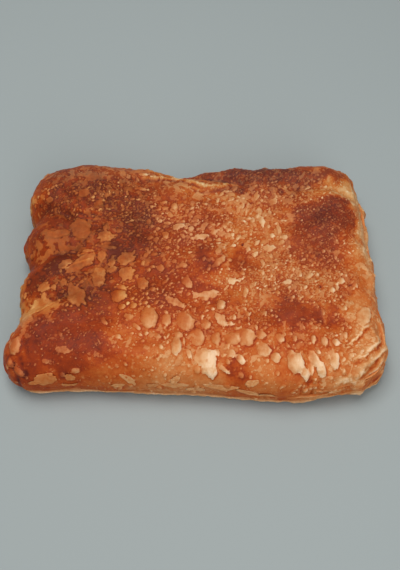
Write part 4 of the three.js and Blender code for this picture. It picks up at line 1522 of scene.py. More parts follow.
@dataclass
class Layout:
    """How brown, loose, blistered, dry and toasted each stretch of the top is, in millimetres."""

    shift: float = 5.0
    even_area: float = 400.0
    plain: tuple[float, float, float] = (0.56, -0.6, 0.4)
    plain_weight: float = 0.15
    film_spread: float = 0.36
    dry_back: tuple[tuple[float, Pair], ...] = ((0.3, (-8.0, 4.0)), (0.7, (26.0, 52.0)))
    dry_right: float = 0.4
    dry_right_along: tuple[Pair, Pair] = ((0.0, 30.0), (68.0, 82.0))
    dry_right_across: Pair = (-42.0, -22.0)
    dry_heights: Pair = (10.0, 22.0)
    dry_low: float = 0.3
    dry_bake: float = 0.025
    toast_along: Pair = (0.0, 44.0)
    toast_across: tuple[Pair, Pair] = ((-38.0, -26.0), (40.0, 54.0))
    regions: tuple[Region, ...] = (
        Region(-66, 50, 20, 10, 0.825, 0, 0.6), Region(-74, 40, 8, 6, 0.895, -0.9, 0.4),
        Region(-58, 38, 12, 8, 0.875, -0.8, 0.7), Region(-42, 46, 12, 10, 0.835, 0, 0.6),
        Region(-44, 34, 12, 8, 0.915, -1.2, 0.8), Region(-30, 40, 12, 10, 0.76, -0.8, 0.6),
        Region(-28, 54, 12, 6, 0.66, 0.6, 0.5), Region(-84, 46, 5, 12, 0.585, -0.2, 0.2),
        Region(-70, 27, 10, 6, 0.855, -1.6, 0.3), Region(-62, 18, 14, 8, 0.84, 0.9, 0.3),
        Region(-78, 17, 7, 8, 0.795, -0.8, 0.2), Region(-86, 12, 4, 14, 0.62, 0.2, 0.1),
        Region(-69, -1.5, 8, 4, 1.095, -3, 0.1), Region(-77, 4, 4, 7, 0.74, 0.6, 0.1),
        Region(-76.5, -12, 4.5, 6, 0.955, -2, 0.2), Region(-55, 0, 9, 5, 0.71, 0.1, 0.3),
        Region(-40.5, 3, 6, 3.5, 0.985, -2, 0.1), Region(-33, 10, 10, 5, 0.885, -2.2, 0.2),
        Region(-46, 13, 7, 5, 0.695, 0.2, 0.3), Region(-34, 24, 12, 8, 0.955, -1.3, 0.8),
        Region(-58, -11, 8, 4, 0.815, -0.4, 0.6), Region(-65, -16, 4, 5, 0.875, -1, 0.5),
        Region(-48, -9, 5, 8, 0.735, 0, 0.2), Region(-42, -12, 4, 6, 0.915, -2, 0.2),
        Region(-35, -3, 9, 6, 0.735, -0.2, 0.2), Region(-74, -18, 6, 5, 0.735, 0.2, 0.3),
        Region(-77, -27, 9, 7, 0.52, 2.4, 0.1), Region(-84, -34, 5, 7, 0.44, 1.8, 0.1),
        Region(-49, -20, 7, 6, 0.835, -1.8, 0.3), Region(-62, -36, 18, 9, 0.84, -1.8, 0.25),
        Region(-74, -42, 10, 8, 0.82, -1.9, 0.2), Region(-52, -50, 12, 7, 0.8, -1.9, 0.25),
        Region(-70, -53, 14, 6, 0.8, -1.6, 0.2), Region(-44, -36, 8, 8, 0.71, -1.5, 0.3),
        Region(-32, -44, 9, 8, 0.48, -1.2, 0.3), Region(-36, -58, 12, 4, 0.5, -1.4, 0.2),
        Region(-85, -48, 4, 8, 0.55, -0.5, 0.1), Region(-26, -16, 12, 8, 0.7, -1.8, 0.3),
        Region(-12, -24, 12, 6, 0.66, -2, 0.2), Region(-14, -8, 10, 7, 0.7, -2, 0.25),
        Region(-6, 0, 8, 7, 0.62, -0.8, 0.5), Region(4, 0, 5, 6, 0.88, -2.4, 0.05),
        Region(12, -12, 8, 6, 0.46, -0.8, 0.4), Region(2.5, -16.5, 6, 3, 0.72, -2, 0.2),
        Region(22, -1, 5, 5, 0.66, -1.6, 0.3), Region(-14, 16, 12, 12, 0.67, -1.1, 0.5),
        Region(6, 16, 12, 10, 0.63, -0.4, 0.5), Region(2, 30, 10, 6, 0.61, -0.6, 0.5),
        Region(-6, 42, 16, 7, 0.64, -0.2, 0.4), Region(-14, 52, 10, 5, 0.66, 0, 0.2),
        Region(10, 43, 10, 5, 0.5, 0.5, 0.6), Region(22, 16, 8, 6, 0.5, 0.3, 0.3),
        Region(34, 10, 10, 8, 0.5, 0.5, 0.5), Region(28, 32, 12, 12, 0.5, 0.3, 0.6),
        Region(33, 24, 5, 5, 0.5, -0.4, 0.3), Region(42, 38, 8, 8, 0.52, 0.1, 0.6),
        Region(28, 51, 12, 5, 0.84, -1.2, 0.5), Region(40, 57, 18, 4, 0.85, -1.2, 0.6),
        Region(10, 58, 12, 4, 0.75, -0.5, 0.4), Region(62, 54, 12, 5, 0.8, -1.2, 0.7),
        Region(70, 60, 12, 4, 0.5, -0.6, 0.3), Region(56, 40, 10, 6, 0.63, -0.2, 0.6),
        Region(66, 24, 13, 12, 0.88, -2, 0.6), Region(74, 28, 6, 7, 0.79, -2, 0.6),
        Region(56, 14, 8, 8, 0.8, -1.4, 0.3), Region(62, 3, 10, 6, 0.74, -1.2, 0.6),
        # Region(80, 43) on the next line paints a highlight: a pale streak along the back-right crease.
        Region(80, 43, 8, 5, 0.2, 0, 0.2), Region(86, 20, 4, 22, 0.12, -0.2, 0.2),
        Region(84, -8, 6, 14, 0.38, -0.3, 0.3), Region(46, 2, 8, 8, 0.57, -0.5, 0.9),
        Region(50, -12, 16, 10, 0.56, -1, 1), Region(70, -14, 8, 8, 0.55, -0.8, 0.8),
        Region(28, -10, 9, 7, 0.56, -0.8, 0.9), Region(34, -22, 10, 8, 0.57, -1, 0.6),
        Region(48.5, -31, 10, 7, 0.83, -2.2, 0.15), Region(63, -33, 4.5, 6, 0.69, -1.6, 0.25),
        Region(56, -24, 10, 4, 0.52, -1.2, 0.9), Region(78, -32, 6, 8, 0.34, 0, 0.2),
        Region(76, -46, 9, 9, 0.3, -0.8, 0.4), Region(62, -44, 10, 6, 0.46, -1, 0.6),
        Region(48, -44, 8, 5, 0.52, -0.6, 0.5), Region(10, -38, 14, 8, 0.58, -1, 0.6),
        Region(-10, -36, 10, 8, 0.59, -1, 0.5), Region(-14, -55, 9, 5, 0.28, -0.6, 0.5),
        Region(-2, -48, 10, 6, 0.45, -0.5, 0.5), Region(4, -57, 8, 8, 0.36, -0.3, 0.3),
        Region(19, -58.4, 5, 4, 0.64, -2.4, 0.1), Region(28, -56, 7, 6, 0.42, -0.6, 0.3),
        Region(40.4, -62.6, 5, 3, 0.6, -2.2, 0.1), Region(36, -48, 8, 4, 0.52, -0.8, 0.4),
        Region(58, -58, 12, 5, 0.34, -0.5, 0.4), Region(74, -58, 10, 6, 0.36, -0.6, 0.3),
        # Region(71, 42) on the next line paints the same highlight along the back-right crease.
        Region(84, -50, 6, 8, 0.32, -0.6, 0.3), Region(71, 42, 7, 4, 0.32, 0, 0.3),
        Region(24, -19, 6, 5, 0.42, -1, 0.6), Region(13, 0, 4, 5, 0.5, -0.2, 0.4),
        Region(12, -50, 6, 5, 0.4, 0, 0.4), Region(-50, -61, 18, 2.5, 0.52, -1.5, 0.15),
        Region(-16, -61, 14, 2.5, 0.3, -1.5, 0.15), Region(12, -62, 14, 2.5, 0.42, -1.5, 0.15),
        Region(-70, 10, 9, 4, 0.85, 0.9, 0.2), Region(-51, 20, 4, 3, 0.915, -1.8, 0.4),
        Region(-48, 4, 5, 4, 0.735, 0, 0.3), Region(51, -63.5, 5, 2.5, 0.36, 0, 0.8),
        Region(-40.5, 3.2, 6, 3, 1.055, -3, 0.1), Region(6, 28, 12, 6, 0.65, -0.4, 0.6),
        Region(-24, 1, 6, 5, 0.78, -0.8, 0.4), Region(24, 21, 7, 6, 0.58, -0.3, 0.5),
        Region(20, -1.5, 4, 4, 0.74, -2.2, 0.1), Region(3, -16.5, 6, 2.6, 0.76, -2.4, 0.1),
        Region(26, 13, 5, 4, 0.5, -2, 0.1), Region(-89, -14, 4, 9, 0.42, 1.2, 0.1),
        Region(-89, 42, 3.5, 12, 0.46, 0.8, 0.1), Region(86, 32, 4, 6, 0.3, -0.5, 0.2),
        Region(86, -43, 5, 7, 0.26, -0.4, 0.2), Region(73, 7, 5, 8, 0.6, -0.8, 0.6),
        Region(24, -50.5, 4.5, 3.5, 0.64, -2, 0.1), Region(58.2, -30, 2, 4, 0.5, 0.3, 0.8),
        Region(36, -65, 10, 2.5, 0.38, -1.2, 0.2), Region(62, -63, 10, 3, 0.3, -0.4, 0.3),
    )

    def lay_on(self, skin: Skin) -> None:
        """Lays the stretches out on the skin, with edges that wander.

        Args:
            skin: The crust's points.
        """
        points = skin.points
        x = points[:, 0] + self.shift * Cloud.SHIFT_X.at(points)
        y = points[:, 1] + self.shift * Cloud.SHIFT_Y.at(points)
        self._aim(skin, x, y)
        self._dry(skin, x, y)

    def _aim(self, skin: Skin, x: Array, y: Array) -> None:
        """Gives each point the browning, film and fizz that the regions round it aim at.

        Args:
            skin: The crust's points.
            x: Where they count as lying along the parcel, in millimetres.
            y: Where they count as lying across it.
        """
        weight = np.full(len(x), self.plain_weight)
        aims = weight[:, None] * np.array(self.plain)
        for region in self.regions:
            reach = ((x - region.x) / region.along) ** 2 + ((y - region.y) / region.across) ** 2
            pull = np.exp(-reach) * math.sqrt(self.even_area / (region.along * region.across))
            weight += pull
            aims += pull[:, None] * np.array((region.bake, region.film, region.fizz))
        skin.bake, cover, skin.fizz = (aims / weight[:, None]).T.copy()
        skin.film = Cloud.FILM.at(skin.points) / self.film_spread + cover

    def _dry(self, skin: Skin, x: Array, y: Array) -> None:
        """Dries the back and the right of the top, and toasts its left.

        Args:
            skin: The crust's points.
            x: Where they count as lying along the parcel, in millimetres.
            y: Where they count as lying across it.
        """
        back = sum(share * smooth_step(*limits, y) for share, limits in self.dry_back)
        right = self.dry_right * window(*self.dry_right_along, x) * smooth_step(*self.dry_right_across, y)
        skin.toast = smooth_step(*self.toast_along, -x) * window(*self.toast_across, y)
        high = smooth_step(*self.dry_heights, skin.points[:, 2])
        skin.dry = np.maximum(back, right) * (1.0 - skin.toast) * (self.dry_low + (1.0 - self.dry_low) * high)
        skin.bake += self.dry_bake * skin.dry


@dataclass
class Folds:
    """The puckers, layers, steps, thin folds and holes of the skin, in millimetres and degrees."""

    form: ParcelForm
    pucker: float = 0.35
    rough: float = 0.12
    layered_bearings: tuple[Pair, Pair] = ((-62.0, -40.0), (140.0, 165.0))
    layered_least: float = 0.08
    smooth_bearings: tuple[Pair, Pair] = ((-158.0, -142.0), (-62.0, -45.0))
    low_layers: Pair = (0.35, 0.45)
    low_heights: Pair = (6.0, 14.0)
    leaf_stretch: tuple[float, float, float] = (0.09, 0.09, 1.0)
    leaf_rise: float = 0.9
    leaf_pale: float = 0.25
    scallop: float = 2.4
    film_off_side: float = 1.2
    film_ease: Pair = (-0.2, 0.5)
    film_rise: float = 0.25
    terrace_wander: float = 1.2
    terrace_ends: float = 0.12
    terrace_ease: Pair = (-0.3, 0.5)
    lip_place: float = 0.6
    lip_width: float = 0.9
    gap_place: float = -0.7
    gap_width: float = 0.7
    gap_shade: float = 0.16
    ridge_wander: float = 0.7
    ridge_ends: float = 0.15
    valley_place: float = 2.0
    valley_shade: float = 0.6
    pit_film: float = 3.0
    terraces: tuple[Terrace, ...] = (
        Terrace(((24, 50), (10, 51.5), (-4, 55), (-20, 58.5), (-38, 60.5)), 1.1, 5.0, 0.22),
        Terrace(((62, -52), (70, -45), (80, -37)), 0.7, 4.0, 0.12),
        Terrace(((70, -56), (78, -50), (88, -40)), 0.8, 4.0, 0.12),
        Terrace(((62, -64), (76, -58), (84, -51), (91, -41)), 0.9, 4.0, 0.15),
    )
    ridges: tuple[Ridge, ...] = (
        Ridge(
            (
                (-36, 51.5), (-25, 53), (-18, 54.5), (-9, 54.3), (-5.5, 52), (-1, 49.8), (4, 47.8), (13, 48),
                (18.5, 52),
            ),
            0.8, 1.0, 0.30,
        ),
        Ridge(((-5, 47.2), (1, 46), (5.5, 45.6), (11, 46.5)), 0.5, 0.8, 0.22),
        Ridge(((64, -53), (68.5, -48.6), (73, -44), (77, -40)), 0.6, 0.5, 0.34),
        Ridge(((67.5, -50), (71.5, -45.6), (75.5, -41), (81.5, -34.6)), 0.5, 0.5, 0.32),
        Ridge(((74, -54.5), (78, -50), (82, -46.4), (88, -40)), 0.6, 0.55, 0.34),
        Ridge(((72, -59.5), (77, -57.6), (81, -53.6), (84, -49.4), (88.6, -44)), 0.7, 0.6, 0.34),
        Ridge(((78, -59), (83.5, -55), (87, -49)), 0.6, 0.6, 0.3),
        Ridge(((66, -57), (71.5, -54.5), (76.5, -51.5), (80.5, -47.5)), 0.5, 0.5, 0.28),
        Ridge(((70, -62), (76, -60.6), (81, -58.2), (86, -53.4)), 0.5, 0.55, 0.32),
        Ridge(((66, -62), (72, -60.8), (77, -57.4)), 0.5, 0.55, 0.25),
        Ridge(((-64, 30), (-58, 28.4), (-53, 28.6), (-48, 26)), 0.4, 0.6, 0.16),
        Ridge(((-62, 26.5), (-56, 25), (-50, 24.5)), 0.4, 0.5, 0.16),
        Ridge(((-60, 23.5), (-54, 22), (-49, 21)), 0.35, 0.5, 0.14),
        Ridge(((-70, -8), (-63, -4), (-57, -1), (-51, 1.5)), 0.5, 0.6, 0.14),
        Ridge(((-60, 3.4), (-54, 4.4), (-48, 3.2)), 0.4, 0.5, 0.14),
    )
    pits: tuple[Pit, ...] = (
        Pit(6.8, -25, 1.8, 0.7, 0.12), Pit(59, -16.8, 0.8, 0.6, 0.4), Pit(14.3, -31.2, 0.8, 0.5, 0.3),
        Pit(22.6, 9, 0.5, 0.5, 0.6), Pit(22.7, 9.7, 0.45, 0.5, 0.6), Pit(21.3, 16, 0.5, 0.5, 0.5),
        Pit(4.4, -54.7, 0.45, 0.5, 0.7), Pit(47.8, -65.3, 0.55, 0.8, 0.3), Pit(50.8, -63.2, 0.55, 0.8, 0.3),
        Pit(53, -65.2, 0.55, 0.8, 0.3), Pit(52, -62.6, 0.55, 0.8, 0.3), Pit(55.5, -62.8, 0.55, 0.8, 0.3),
        Pit(-18, -53.5, 0.6, 0.2, 0.3), Pit(-19.6, -54.4, 0.5, 0.2, 0.3), Pit(-16.6, -54.6, 0.5, 0.2, 0.25),
        Pit(73.8, -14.6, 1.2, 0.4, 0.25), Pit(28, 37, 1.0, 0.4, 0.2), Pit(44, 44, 2.0, 0.5, 0.25),
        Pit(-87.5, -51, 1.2, 0.6, 0.3), Pit(-84.6, -54.6, 0.9, 0.7, 0.3), Pit(-81, -53, 1.2, 0.5, 0.25),
        Pit(-78.2, -59, 1.0, 0.5, 0.3), Pit(-83.5, -60, 1.4, 0.8, 0.35), Pit(-80.2, -55.2, 0.9, 0.6, 0.3),
    )

    def layer(self, skin: Skin) -> None:
        """Puckers the skin, layers its side and lifts its loose film.

        Args:
            skin: The crust's points.
        """
        points = skin.points
        skin.lift += self.pucker * Cloud.PUCKER.at(points)
        skin.lift += self.rough * Cloud.ROUGH.at(points)
        side = smooth_step(self.form.ring_rim, self.form.ring_bulge, skin.ring)
        around = np.degrees(skin.bearing)
        layered = self.layered_least + (1.0 - self.layered_least) * window(*self.layered_bearings, around)
        least, more = self.low_layers
        low = least + more * (1.0 - window(*self.smooth_bearings, around))
        low = low * (1.0 - smooth_step(*self.low_heights, points[:, 2]))
        skin.side = side * np.maximum(layered, low)
        leaves = Cloud.LEAF.at(points * self.leaf_stretch)
        skin.lift += self.leaf_rise * skin.side * leaves + self.scallop * skin.side * Cloud.SCALLOP.at(points)
        skin.bake -= self.leaf_pale * skin.side * leaves
        skin.film -= self.film_off_side * side
        skin.lift += self.film_rise * smooth_step(*self.film_ease, skin.film)

    def step(self, skin: Skin) -> None:
        """Steps the skin where one sheet lies over another, and paints shade into the gap under the upper
        sheet.

        Args:
            skin: The crust's points.
        """
        x, y, _ = skin.points.T
        wander = self.terrace_wander * Cloud.TERRACE.at(skin.points)
        for terrace in self.terraces:
            distance, share = line_distance(x, y, terrace.line)
            distance = distance + wander
            ends = taper(share, self.terrace_ends)
            fade = np.exp(-np.clip(distance, 0.0, None) / terrace.fade)
            skin.lift += terrace.step * smooth_step(*self.terrace_ease, distance) * fade * ends
            skin.bake -= terrace.pale * bell(distance - self.lip_place, self.lip_width) * ends
            # Painted shade: darker in the gap just under the upper sheet's edge.
            skin.bake += self.gap_shade * bell(distance - self.gap_place, self.gap_width) * ends

    def crease(self, skin: Skin) -> None:
        """Raises the thin folds, paints a highlight on their crests and shade beside them, and sinks the
        small holes.

        Args:
            skin: The crust's points.
        """
        x, y, _ = skin.points.T
        wander = self.ridge_wander * Cloud.RIDGE.at(skin.points)
        for ridge in self.ridges:
            distance, share = line_distance(x, y, ridge.line)
            distance = distance + wander
            ends = taper(share, self.ridge_ends)
            crest = bell(distance, ridge.half_width) * ends
            skin.lift += ridge.rise * crest
            # Painted highlight: the crest is paler.
            skin.bake -= ridge.pale * crest
            # Painted shade: the valley beside the fold is darker.
            valley = bell(distance + self.valley_place * ridge.half_width, ridge.half_width)
            skin.bake += self.valley_shade * ridge.pale * valley * ends
        for pit in self.pits:
            hollow = bell(np.hypot(x - pit.x, y - pit.y), pit.radius)
            skin.lift -= pit.depth * hollow
            skin.bake += pit.dark * hollow
            skin.film -= self.pit_film * hollow
            skin.fizz *= 1.0 - hollow


@dataclass
class BrowningAndShade:
    """How the oven browns the skin on top of its layout, in millimetres and degrees; it also paints shade."""

    form: ParcelForm
    crease_shade: float = 0.08
    crease_width: float = 1.6
    uneven: float = 0.10
    shade_dark: float = 0.2
    front_bearings: tuple[Pair, Pair] = ((-152.0, -140.0), (-62.0, -45.0))
    foot_pale: float = 0.03
    foot_heights: Pair = (6.0, 20.0)

    def bake(self, skin: Skin) -> None:
        """Browns the skin by chance, paints shade in creases and by blisters, and pales it towards the foot.

        Args:
            skin: The crust's points.
        """
        x, y, z = skin.points.T
        # Painted shade: the skin is darkened along each crease.
        for crease in self.form.creases:
            distance, _ = line_distance(x, y, crease.line)
            skin.bake += self.crease_shade * bell(distance, self.crease_width)
        # Random browning, plus the painted shadow laid beside the blisters.
        skin.bake += self.uneven * Cloud.BROWNING.at(skin.points) + self.shade_dark * skin.shade
        front = window(*self.front_bearings, np.degrees(skin.bearing))
        skin.bake -= self.foot_pale * (1.0 - front) * (1.0 - smooth_step(*self.foot_heights, z))


@dataclass
class Crust:
    """The whole skin of the parcel: a sheet of cells, drawn over the form and raised along its normals."""

    form: ParcelForm
    cells_long: int = 372
    cells_wide: int = 250
    spacing: tuple[float, ...] = (0.0, 0.73, 0.92, 1.0)
    foot_height: float = 3.0
    attributes: tuple[str, ...] = ("bake", "bubble", "pale", "film", "fizz", "side", "dry", "toast")

    def build(self, rng: np.random.Generator) -> bpy.types.Object:
        """Builds the crust and dresses it.

        Args:
            rng: The seeded source of chance.

        Returns:
            The crust, in place of the solid.
        """
        mesh = self._sheet()
        skin = self._drawn(mesh)
        folds = Folds(self.form)
        Layout().lay_on(skin)
        folds.layer(skin)
        folds.step(skin)
        count = Blisters(self.form).raise_on(skin, rng)
        LOG.info("%d blisters", count)
        BrowningAndShade(self.form).bake(skin)
        folds.crease(skin)
        foot = np.clip(skin.points[:, 2] / self.foot_height, 0.0, 1.0)
        lift = (skin.lift + skin.dome) * foot
        move_points(mesh, (skin.points + skin.normals * lift[:, None]) * MM)
        for name in self.attributes:
            set_attribute(mesh, name, getattr(skin, name))
        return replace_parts(show(mesh, CrustFinish().material()), NODE)

    def _sheet(self) -> bpy.types.Mesh:
        """Makes a square sheet of cells, closed underneath.

        Returns:
            The sheet, 2 long and wide.
        """
        bm = bmesh.new()
        bmesh.ops.create_grid(bm, x_segments=self.cells_long, y_segments=self.cells_wide, size=1.0)
        rim = [edge for edge in bm.edges if edge.is_boundary]
        base = bmesh.ops.contextual_create(bm, geom=rim)["faces"]
        bmesh.ops.poke(bm, faces=base)
        return turned_out(bm, "crust")

    def _drawn(self, mesh: bpy.types.Mesh) -> Skin:
        """Draws the sheet out to the parcel's form.

        Args:
            mesh: The square sheet.

        Returns:
            The crust's points, on the form.
        """
        square = vectors_of(mesh.vertices, "co")
        rings = (0.0, self.form.ring_rim, self.form.ring_bulge, 1.0)
        ring = np.interp(np.abs(square[:, :2]).max(axis=1), self.spacing, rings)
        bearing = np.arctan2(square[:, 1] * self.form.width, square[:, 0] * self.form.length)
        points = self.form.skin(bearing, ring)
        foot_middle = len(points) - 1
        points[foot_middle] = 0.0
        ring[foot_middle] = 1.0
        move_points(mesh, points)
        return Skin(points, vectors_of(mesh.vertex_normals, "vector"), bearing, ring)


class DrySheets:
    """Thin, dry pieces of sheet, built one after another into one mesh that keeps each point's browning."""

    name: str
    rows: tuple[NamedTuple, ...]

    def build(self, rng: np.random.Generator) -> bpy.types.Object:
        """Builds them all and dresses them.

        Args:
            rng: The seeded source of chance.

        Returns:
            The one object that they make up.
        """
        bm = bmesh.new()
        bake = bm.verts.layers.float.new("bake")
        for row in self.rows:
            self.add(bm, bake, row, rng)
        return show(turned_out(bm, self.name), SheetFinish().material())

    def add(self, bm: bmesh.types.BMesh, bake: Layer, row: NamedTuple, rng: np.random.Generator) -> None:
        """Adds one of them.

        Args:
            bm: The mesh that it is added to.
            bake: The layer with the browning of each point.
            row: Its sizes.
            rng: The seeded source of chance.
        """
        raise NotImplementedError


@dataclass
class SheetEdges(DrySheets):
    """The edges of the sheets that show round the side: thin, wavy, ragged lips, in millimetres."""

    form: ParcelForm
    name: str = "sheet_edges"
    step: float = 0.8
    thickness: float = 0.55
    root: float = 1.4
    droop: float = -0.12
    around: int = 6
    mean_reach: float = 80.0
    farthest_drift: float = 100.0
    sag: float = 0.9
    end_power: int = 4
    end_thickness: float = 0.35
    proud_share: float = 0.75
    proud_wave: float = 0.35
    proud_nick: float = 0.18
    proud_limits: Pair = (0.15, 1.3)
    edge_pale: float = 0.24
    uneven: float = 0.08
    merge: float = 1e-6
    rows: tuple[SheetEdge, ...] = (
        SheetEdge(-147, -116, 1.8, 2.0, 1.5, 0.22), SheetEdge(-120, -86, 1.8, 1.6, 1.7, 0.22),
        SheetEdge(-92, -60, 1.6, 1.6, 2.0, 0.22), SheetEdge(-64, -42, 1.6, 2.2, 2.3, 0.24),
        SheetEdge(-58, -44, 7.5, 10, 1.0, 0.36), SheetEdge(-46, -28, 5.2, 8.6, 1.3, 0.36),
        SheetEdge(-50, -36, 12.5, 15, 0.9, 0.36), SheetEdge(-40, -20, 15, 19, 0.9, 0.36),
        SheetEdge(-20, 12, 7, 9, 1.0, 0.38), SheetEdge(-4, 26, 14, 17.5, 0.9, 0.38),
        SheetEdge(2, 20, 4.5, 5.5, 1.0, 0.38), SheetEdge(14, 34, 10.5, 9, 0.9, 0.38),
        SheetEdge(30, 48, 9, 15, 1.2, 0.38), SheetEdge(36, 56, 5, 6, 1.0, 0.38),
        SheetEdge(58, 92, 7, 8.5, 1.1), SheetEdge(66, 84, 12.5, 11, 0.8), SheetEdge(88, 116, 4.5, 6, 1.0),
        SheetEdge(98, 132, 9.5, 7, 1.1), SheetEdge(120, 140, 12.5, 14, 0.8),
        SheetEdge(136, 152, 4.5, 6.5, 1.0, 0.8), SheetEdge(150, 170, 7.5, 9, 1.1, 0.8),
        SheetEdge(160, 174, 12.5, 13.5, 0.8, 0.8), SheetEdge(172, 190, 4.5, 5.5, 1.0, 0.8),
        SheetEdge(186, 204, 6.5, 8.5, 1.1, 0.8), SheetEdge(196, 212, 11.5, 10, 0.8, 0.8),
    )

    def add(self, bm: bmesh.types.BMesh, bake: Layer, row: SheetEdge, rng: np.random.Generator) -> None:
        """Adds one lip: a strip of cells wrapped into a thin blade that follows the side.

        Args:
            bm: The mesh that it is added to.
            bake: The layer with the browning of each point.
            row: The lip's sizes.
            rng: The seeded source of chance.
        """
        span = math.radians(row.end - row.start)
        middle = math.radians((row.start + row.end) / 2)
        steps = int(span * float(self.form.reach(np.array(middle))) / self.step)
        verts = bmesh.ops.create_grid(bm, x_segments=steps, y_segments=self.around, size=1.0)["verts"]
        square = np.array([vert.co for vert in verts])
        share, wrap = (square[:, 0] + 1.0) / 2.0, (square[:, 1] + 1.0) / 2.0 * TURN
        level = np.zeros(len(share))
        drift = np.full(len(share), rng.uniform(0, self.farthest_drift))
        path = np.stack((share * span * self.mean_reach, drift, level), axis=1)
        bearing = math.radians(row.start) + span * share
        height = row.start_height + (row.end_height - row.start_height) * share
        point, facing = self.form.side(bearing, height + self.sag * Cloud.LIP_SAG.at(path))
        facing[:, 2] = np.maximum(facing[:, 2], self.droop)
        facing /= np.linalg.norm(facing, axis=1)[:, None]
        ends = np.sqrt(np.clip(1.0 - (2.0 * share - 1.0) ** self.end_power, 0.0, None))
        ragged = self.proud_share + self.proud_wave * Cloud.LIP_WAVE.at(path)
        ragged = ragged + self.proud_nick * Cloud.LIP_NICK.at(path)
        proud = row.proud * ends * np.clip(ragged, *self.proud_limits)
        reach = np.where(np.cos(wrap) > 0, proud, self.root) * np.cos(wrap)
        thick = self.thickness / 2 * np.sin(wrap) * (self.end_thickness + (1.0 - self.end_thickness) * ends)
        along = np.stack((-np.sin(bearing), np.cos(bearing), level), axis=1)
        places = point + facing * reach[:, None] + np.cross(facing, along) * thick[:, None]
        tones = row.bake - self.edge_pale * np.clip(reach / row.proud, 0.0, 1.0)
        settle(verts, bake, places, tones + self.uneven * Cloud.LIP_TONE.at(path))
        bmesh.ops.remove_doubles(bm, verts=verts, dist=self.merge)
        bmesh.ops.holes_fill(bm, edges=[edge for edge in bm.edges if edge.is_boundary], sides=0)


@dataclass
class Flakes(DrySheets):
    """The torn flakes that lie on the crust, in millimetres."""

    form: ParcelForm
    name: str = "torn_flakes"
    cells: int = 12
    thickness: float = 0.3
    rest: float = 0.28
    curl: float = 0.3
    curl_shares: Pair = (0.4, 1.0)
    rim_pale: float = 0.06
    uneven: float = 0.03
    uneven_waves: int = 5
    rows: tuple[Flake, ...] = (
        Flake(-69.8, -60.0, 11, 6.4, 5, 0.38), Flake(-60, -60.8, 9, 2.8, -3, 0.32),
        Flake(-58.5, -59.4, 5, 4.2, -10, 0.36), Flake(-31.8, -60.2, 9, 3.2, -40, 0.25),
        Flake(-36.5, -61.2, 6, 2.4, 10, 0.28), Flake(-10.2, -62.0, 12, 3.4, -3, 0.25),
        Flake(-10, -61.0, 5.5, 3.6, 60, 0.25), Flake(-20, -61.8, 7, 3.0, 0, 0.28),
        Flake(-0.8, -62.9, 9, 3.6, 0, 0.2), Flake(11, -63.0, 17, 3.4, -6, 0.25),
        Flake(24, -64.8, 13, 2.6, -5, 0.25), Flake(25, -63.0, 6.4, 3.4, 15, 0.25),
        Flake(64.5, -63.4, 7.5, 2.8, 8, 0.2), Flake(32, -65.8, 9, 2.4, 0, 0.25),
        Flake(-75, -61.0, 6, 2.4, 4, 0.36),
    )

    def add(self, bm: bmesh.types.BMesh, bake: Layer, row: Flake, rng: np.random.Generator) -> None:
        """Adds one flake: a disc with a torn outline, laid over the crust and given thickness.

        Args:
            bm: The mesh that it is added to.
            bake: The layer with the browning of each point.
            row: The flake's sizes.
            rng: The seeded source of chance.
        """
        verts = bmesh.ops.create_grid(bm, x_segments=self.cells, y_segments=self.cells, size=1.0)["verts"]
        square = np.array([vert.co for vert in verts])
        angle, out = np.arctan2(square[:, 1], square[:, 0]), np.abs(square).max(axis=1)
        phases = rng.uniform(0, TURN, OUTLINE_TEETH)
        torn = out * ragged_outline(angle, phases, BlisterKind.TORN)
        u, v = torn * np.cos(angle) * row.length / 2, torn * np.sin(angle) * row.breadth / 2
        turn = math.radians(row.turn)
        middle, facing = self.form.seat(row.x, row.y)
        right, back = axes_on(facing)
        a = u * math.cos(turn) - v * math.sin(turn)
        b = u * math.sin(turn) + v * math.cos(turn)
        flat = middle + a[:, None] * right + b[:, None] * back
        lean = rng.uniform(0, TURN)
        raised = np.clip(np.cos(angle - lean), 0.0, 1.0) * rng.uniform(*self.curl_shares)
        lift = self.rest + self.curl * out ** 2 * raised
        places = self.form.over_plan(flat[:, 0], flat[:, 1]) + facing * lift[:, None]
        chance = self.uneven * np.sin(self.uneven_waves * angle + phases[0])
        settle(verts, bake, places, row.bake - self.rim_pale * out + chance)
        sheet = list(dict.fromkeys(face for vert in verts for face in vert.link_faces))
        bmesh.ops.solidify(bm, geom=sheet, thickness=self.thickness * MM)


@dataclass(frozen=True)
class Lamp:
    """A soft square light: where it stands, how wide and how strong it is, and its colour."""

    name: str
    place: tuple[float, float, float]
    size: float
    power: float
    colour: tuple[float, float, float]

    def hang(self, target: Vector) -> None:
        """Hangs the light.

        Args:
            target: What it shines at.
        """
        data = bpy.data.lights.new(self.name, "AREA")
        data.size = self.size
        data.energy = self.power
        data.color = self.colour
        lamp = bpy.data.objects.new(self.name, data)
        lamp.location = self.place
        lamp.rotation_euler = (target - Vector(self.place)).to_track_quat("-Z", "Y").to_euler()
        bpy.context.scene.collection.objects.link(lamp)


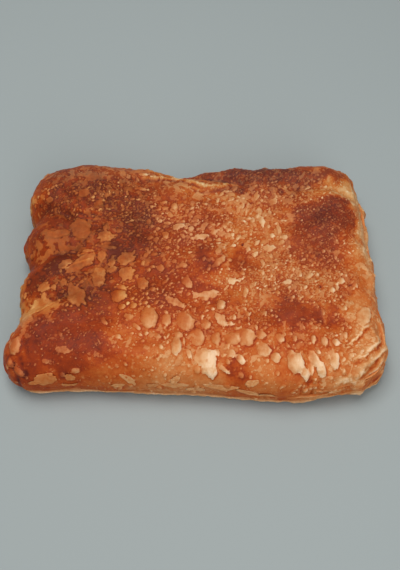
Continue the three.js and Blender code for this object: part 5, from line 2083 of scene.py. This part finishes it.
@dataclass
class Studio:
    """The floor, the light and the camera, in metres."""

    target: tuple[float, float, float] = (0.0013, -0.0074, 0.014)
    distance: float = 0.358
    elevation: float = 57.0
    lens: float = 45.03
    sensor: float = 36.0
    nearest: float = 0.01
    floor_size: float = 3.0
    floor_gap: float = 0.0002
    floor_colour: tuple[int, int, int] = (152, 160, 160)
    floor_roughness: float = 0.8
    ambient: tuple[float, float, float, float] = (0.93, 0.97, 1.0, 1.0)
    ambient_strength: float = 0.27
    lamps: tuple[Lamp, ...] = (
        Lamp("window", (-0.12, 0.12, 0.92), 0.6, 6.8, (1.0, 0.99, 0.97)),
        Lamp("front", (0.30, -0.72, 0.46), 0.6, 3.2, (1.0, 0.99, 0.98)),
    )

    def build(self) -> None:
        """Sets up the floor, the lights, the surroundings and the camera."""
        self._floor()
        for lamp in self.lamps:
            lamp.hang(Vector(self.target))
        scene = bpy.context.scene
        scene.view_settings.view_transform = "Standard"
        world = bpy.data.worlds.new("studio")
        world.use_nodes = True
        bench = Bench(world.node_tree)
        light = {"Color": self.ambient, "Strength": self.ambient_strength}
        sky = bench.fed("ShaderNodeBackground", "Background", light)
        bench.feed(sky, bench.place("ShaderNodeOutputWorld").inputs["Surface"])
        scene.world = world
        self._camera(scene)

    def _floor(self) -> None:
        """Lays a plain pale floor just under the pastry."""
        bm = bmesh.new()
        bmesh.ops.create_grid(bm, x_segments=1, y_segments=1, size=self.floor_size / 2)
        bmesh.ops.translate(bm, verts=bm.verts, vec=(0.0, 0.0, -self.floor_gap))
        mesh = bpy.data.meshes.new("floor")
        bm.to_mesh(mesh)
        bm.free()
        material, bench = blank_material("pale_floor")
        bench.surface(Base_Color=linear(*self.floor_colour), Roughness=self.floor_roughness)
        mesh.materials.append(material)
        floor = bpy.data.objects.new("floor", mesh)
        bpy.context.scene.collection.objects.link(floor)

    def _camera(self, scene: bpy.types.Scene) -> None:
        """Stands the camera in front of the pastry, looking down on it.

        Args:
            scene: The scene that it sees.
        """
        data = bpy.data.cameras.new("camera")
        data.lens = self.lens
        data.sensor_width = self.sensor
        data.clip_start = self.nearest
        camera = bpy.data.objects.new("camera", data)
        angle = math.radians(self.elevation)
        back = Vector((0.0, -math.cos(angle), math.sin(angle)))
        camera.location = Vector(self.target) + back * self.distance
        camera.rotation_euler = (-back).to_track_quat("-Z", "Y").to_euler()
        scene.collection.objects.link(camera)
        scene.camera = camera


def main() -> None:
    """Builds the pastry's pieces and the studio, and reports each piece."""
    logging.basicConfig(level=logging.INFO, format="%(name)s: %(message)s")
    rng = np.random.default_rng(SEED)
    form = ParcelForm()
    pieces = (
        Crust(form).build(rng),
        SheetEdges(form).build(rng),
        Flakes(form).build(rng),
    )
    for piece in pieces:
        LOG.info("%s: %d faces", piece.name, len(piece.data.polygons))
    Studio().build()


if __name__ == "__main__":
    main()
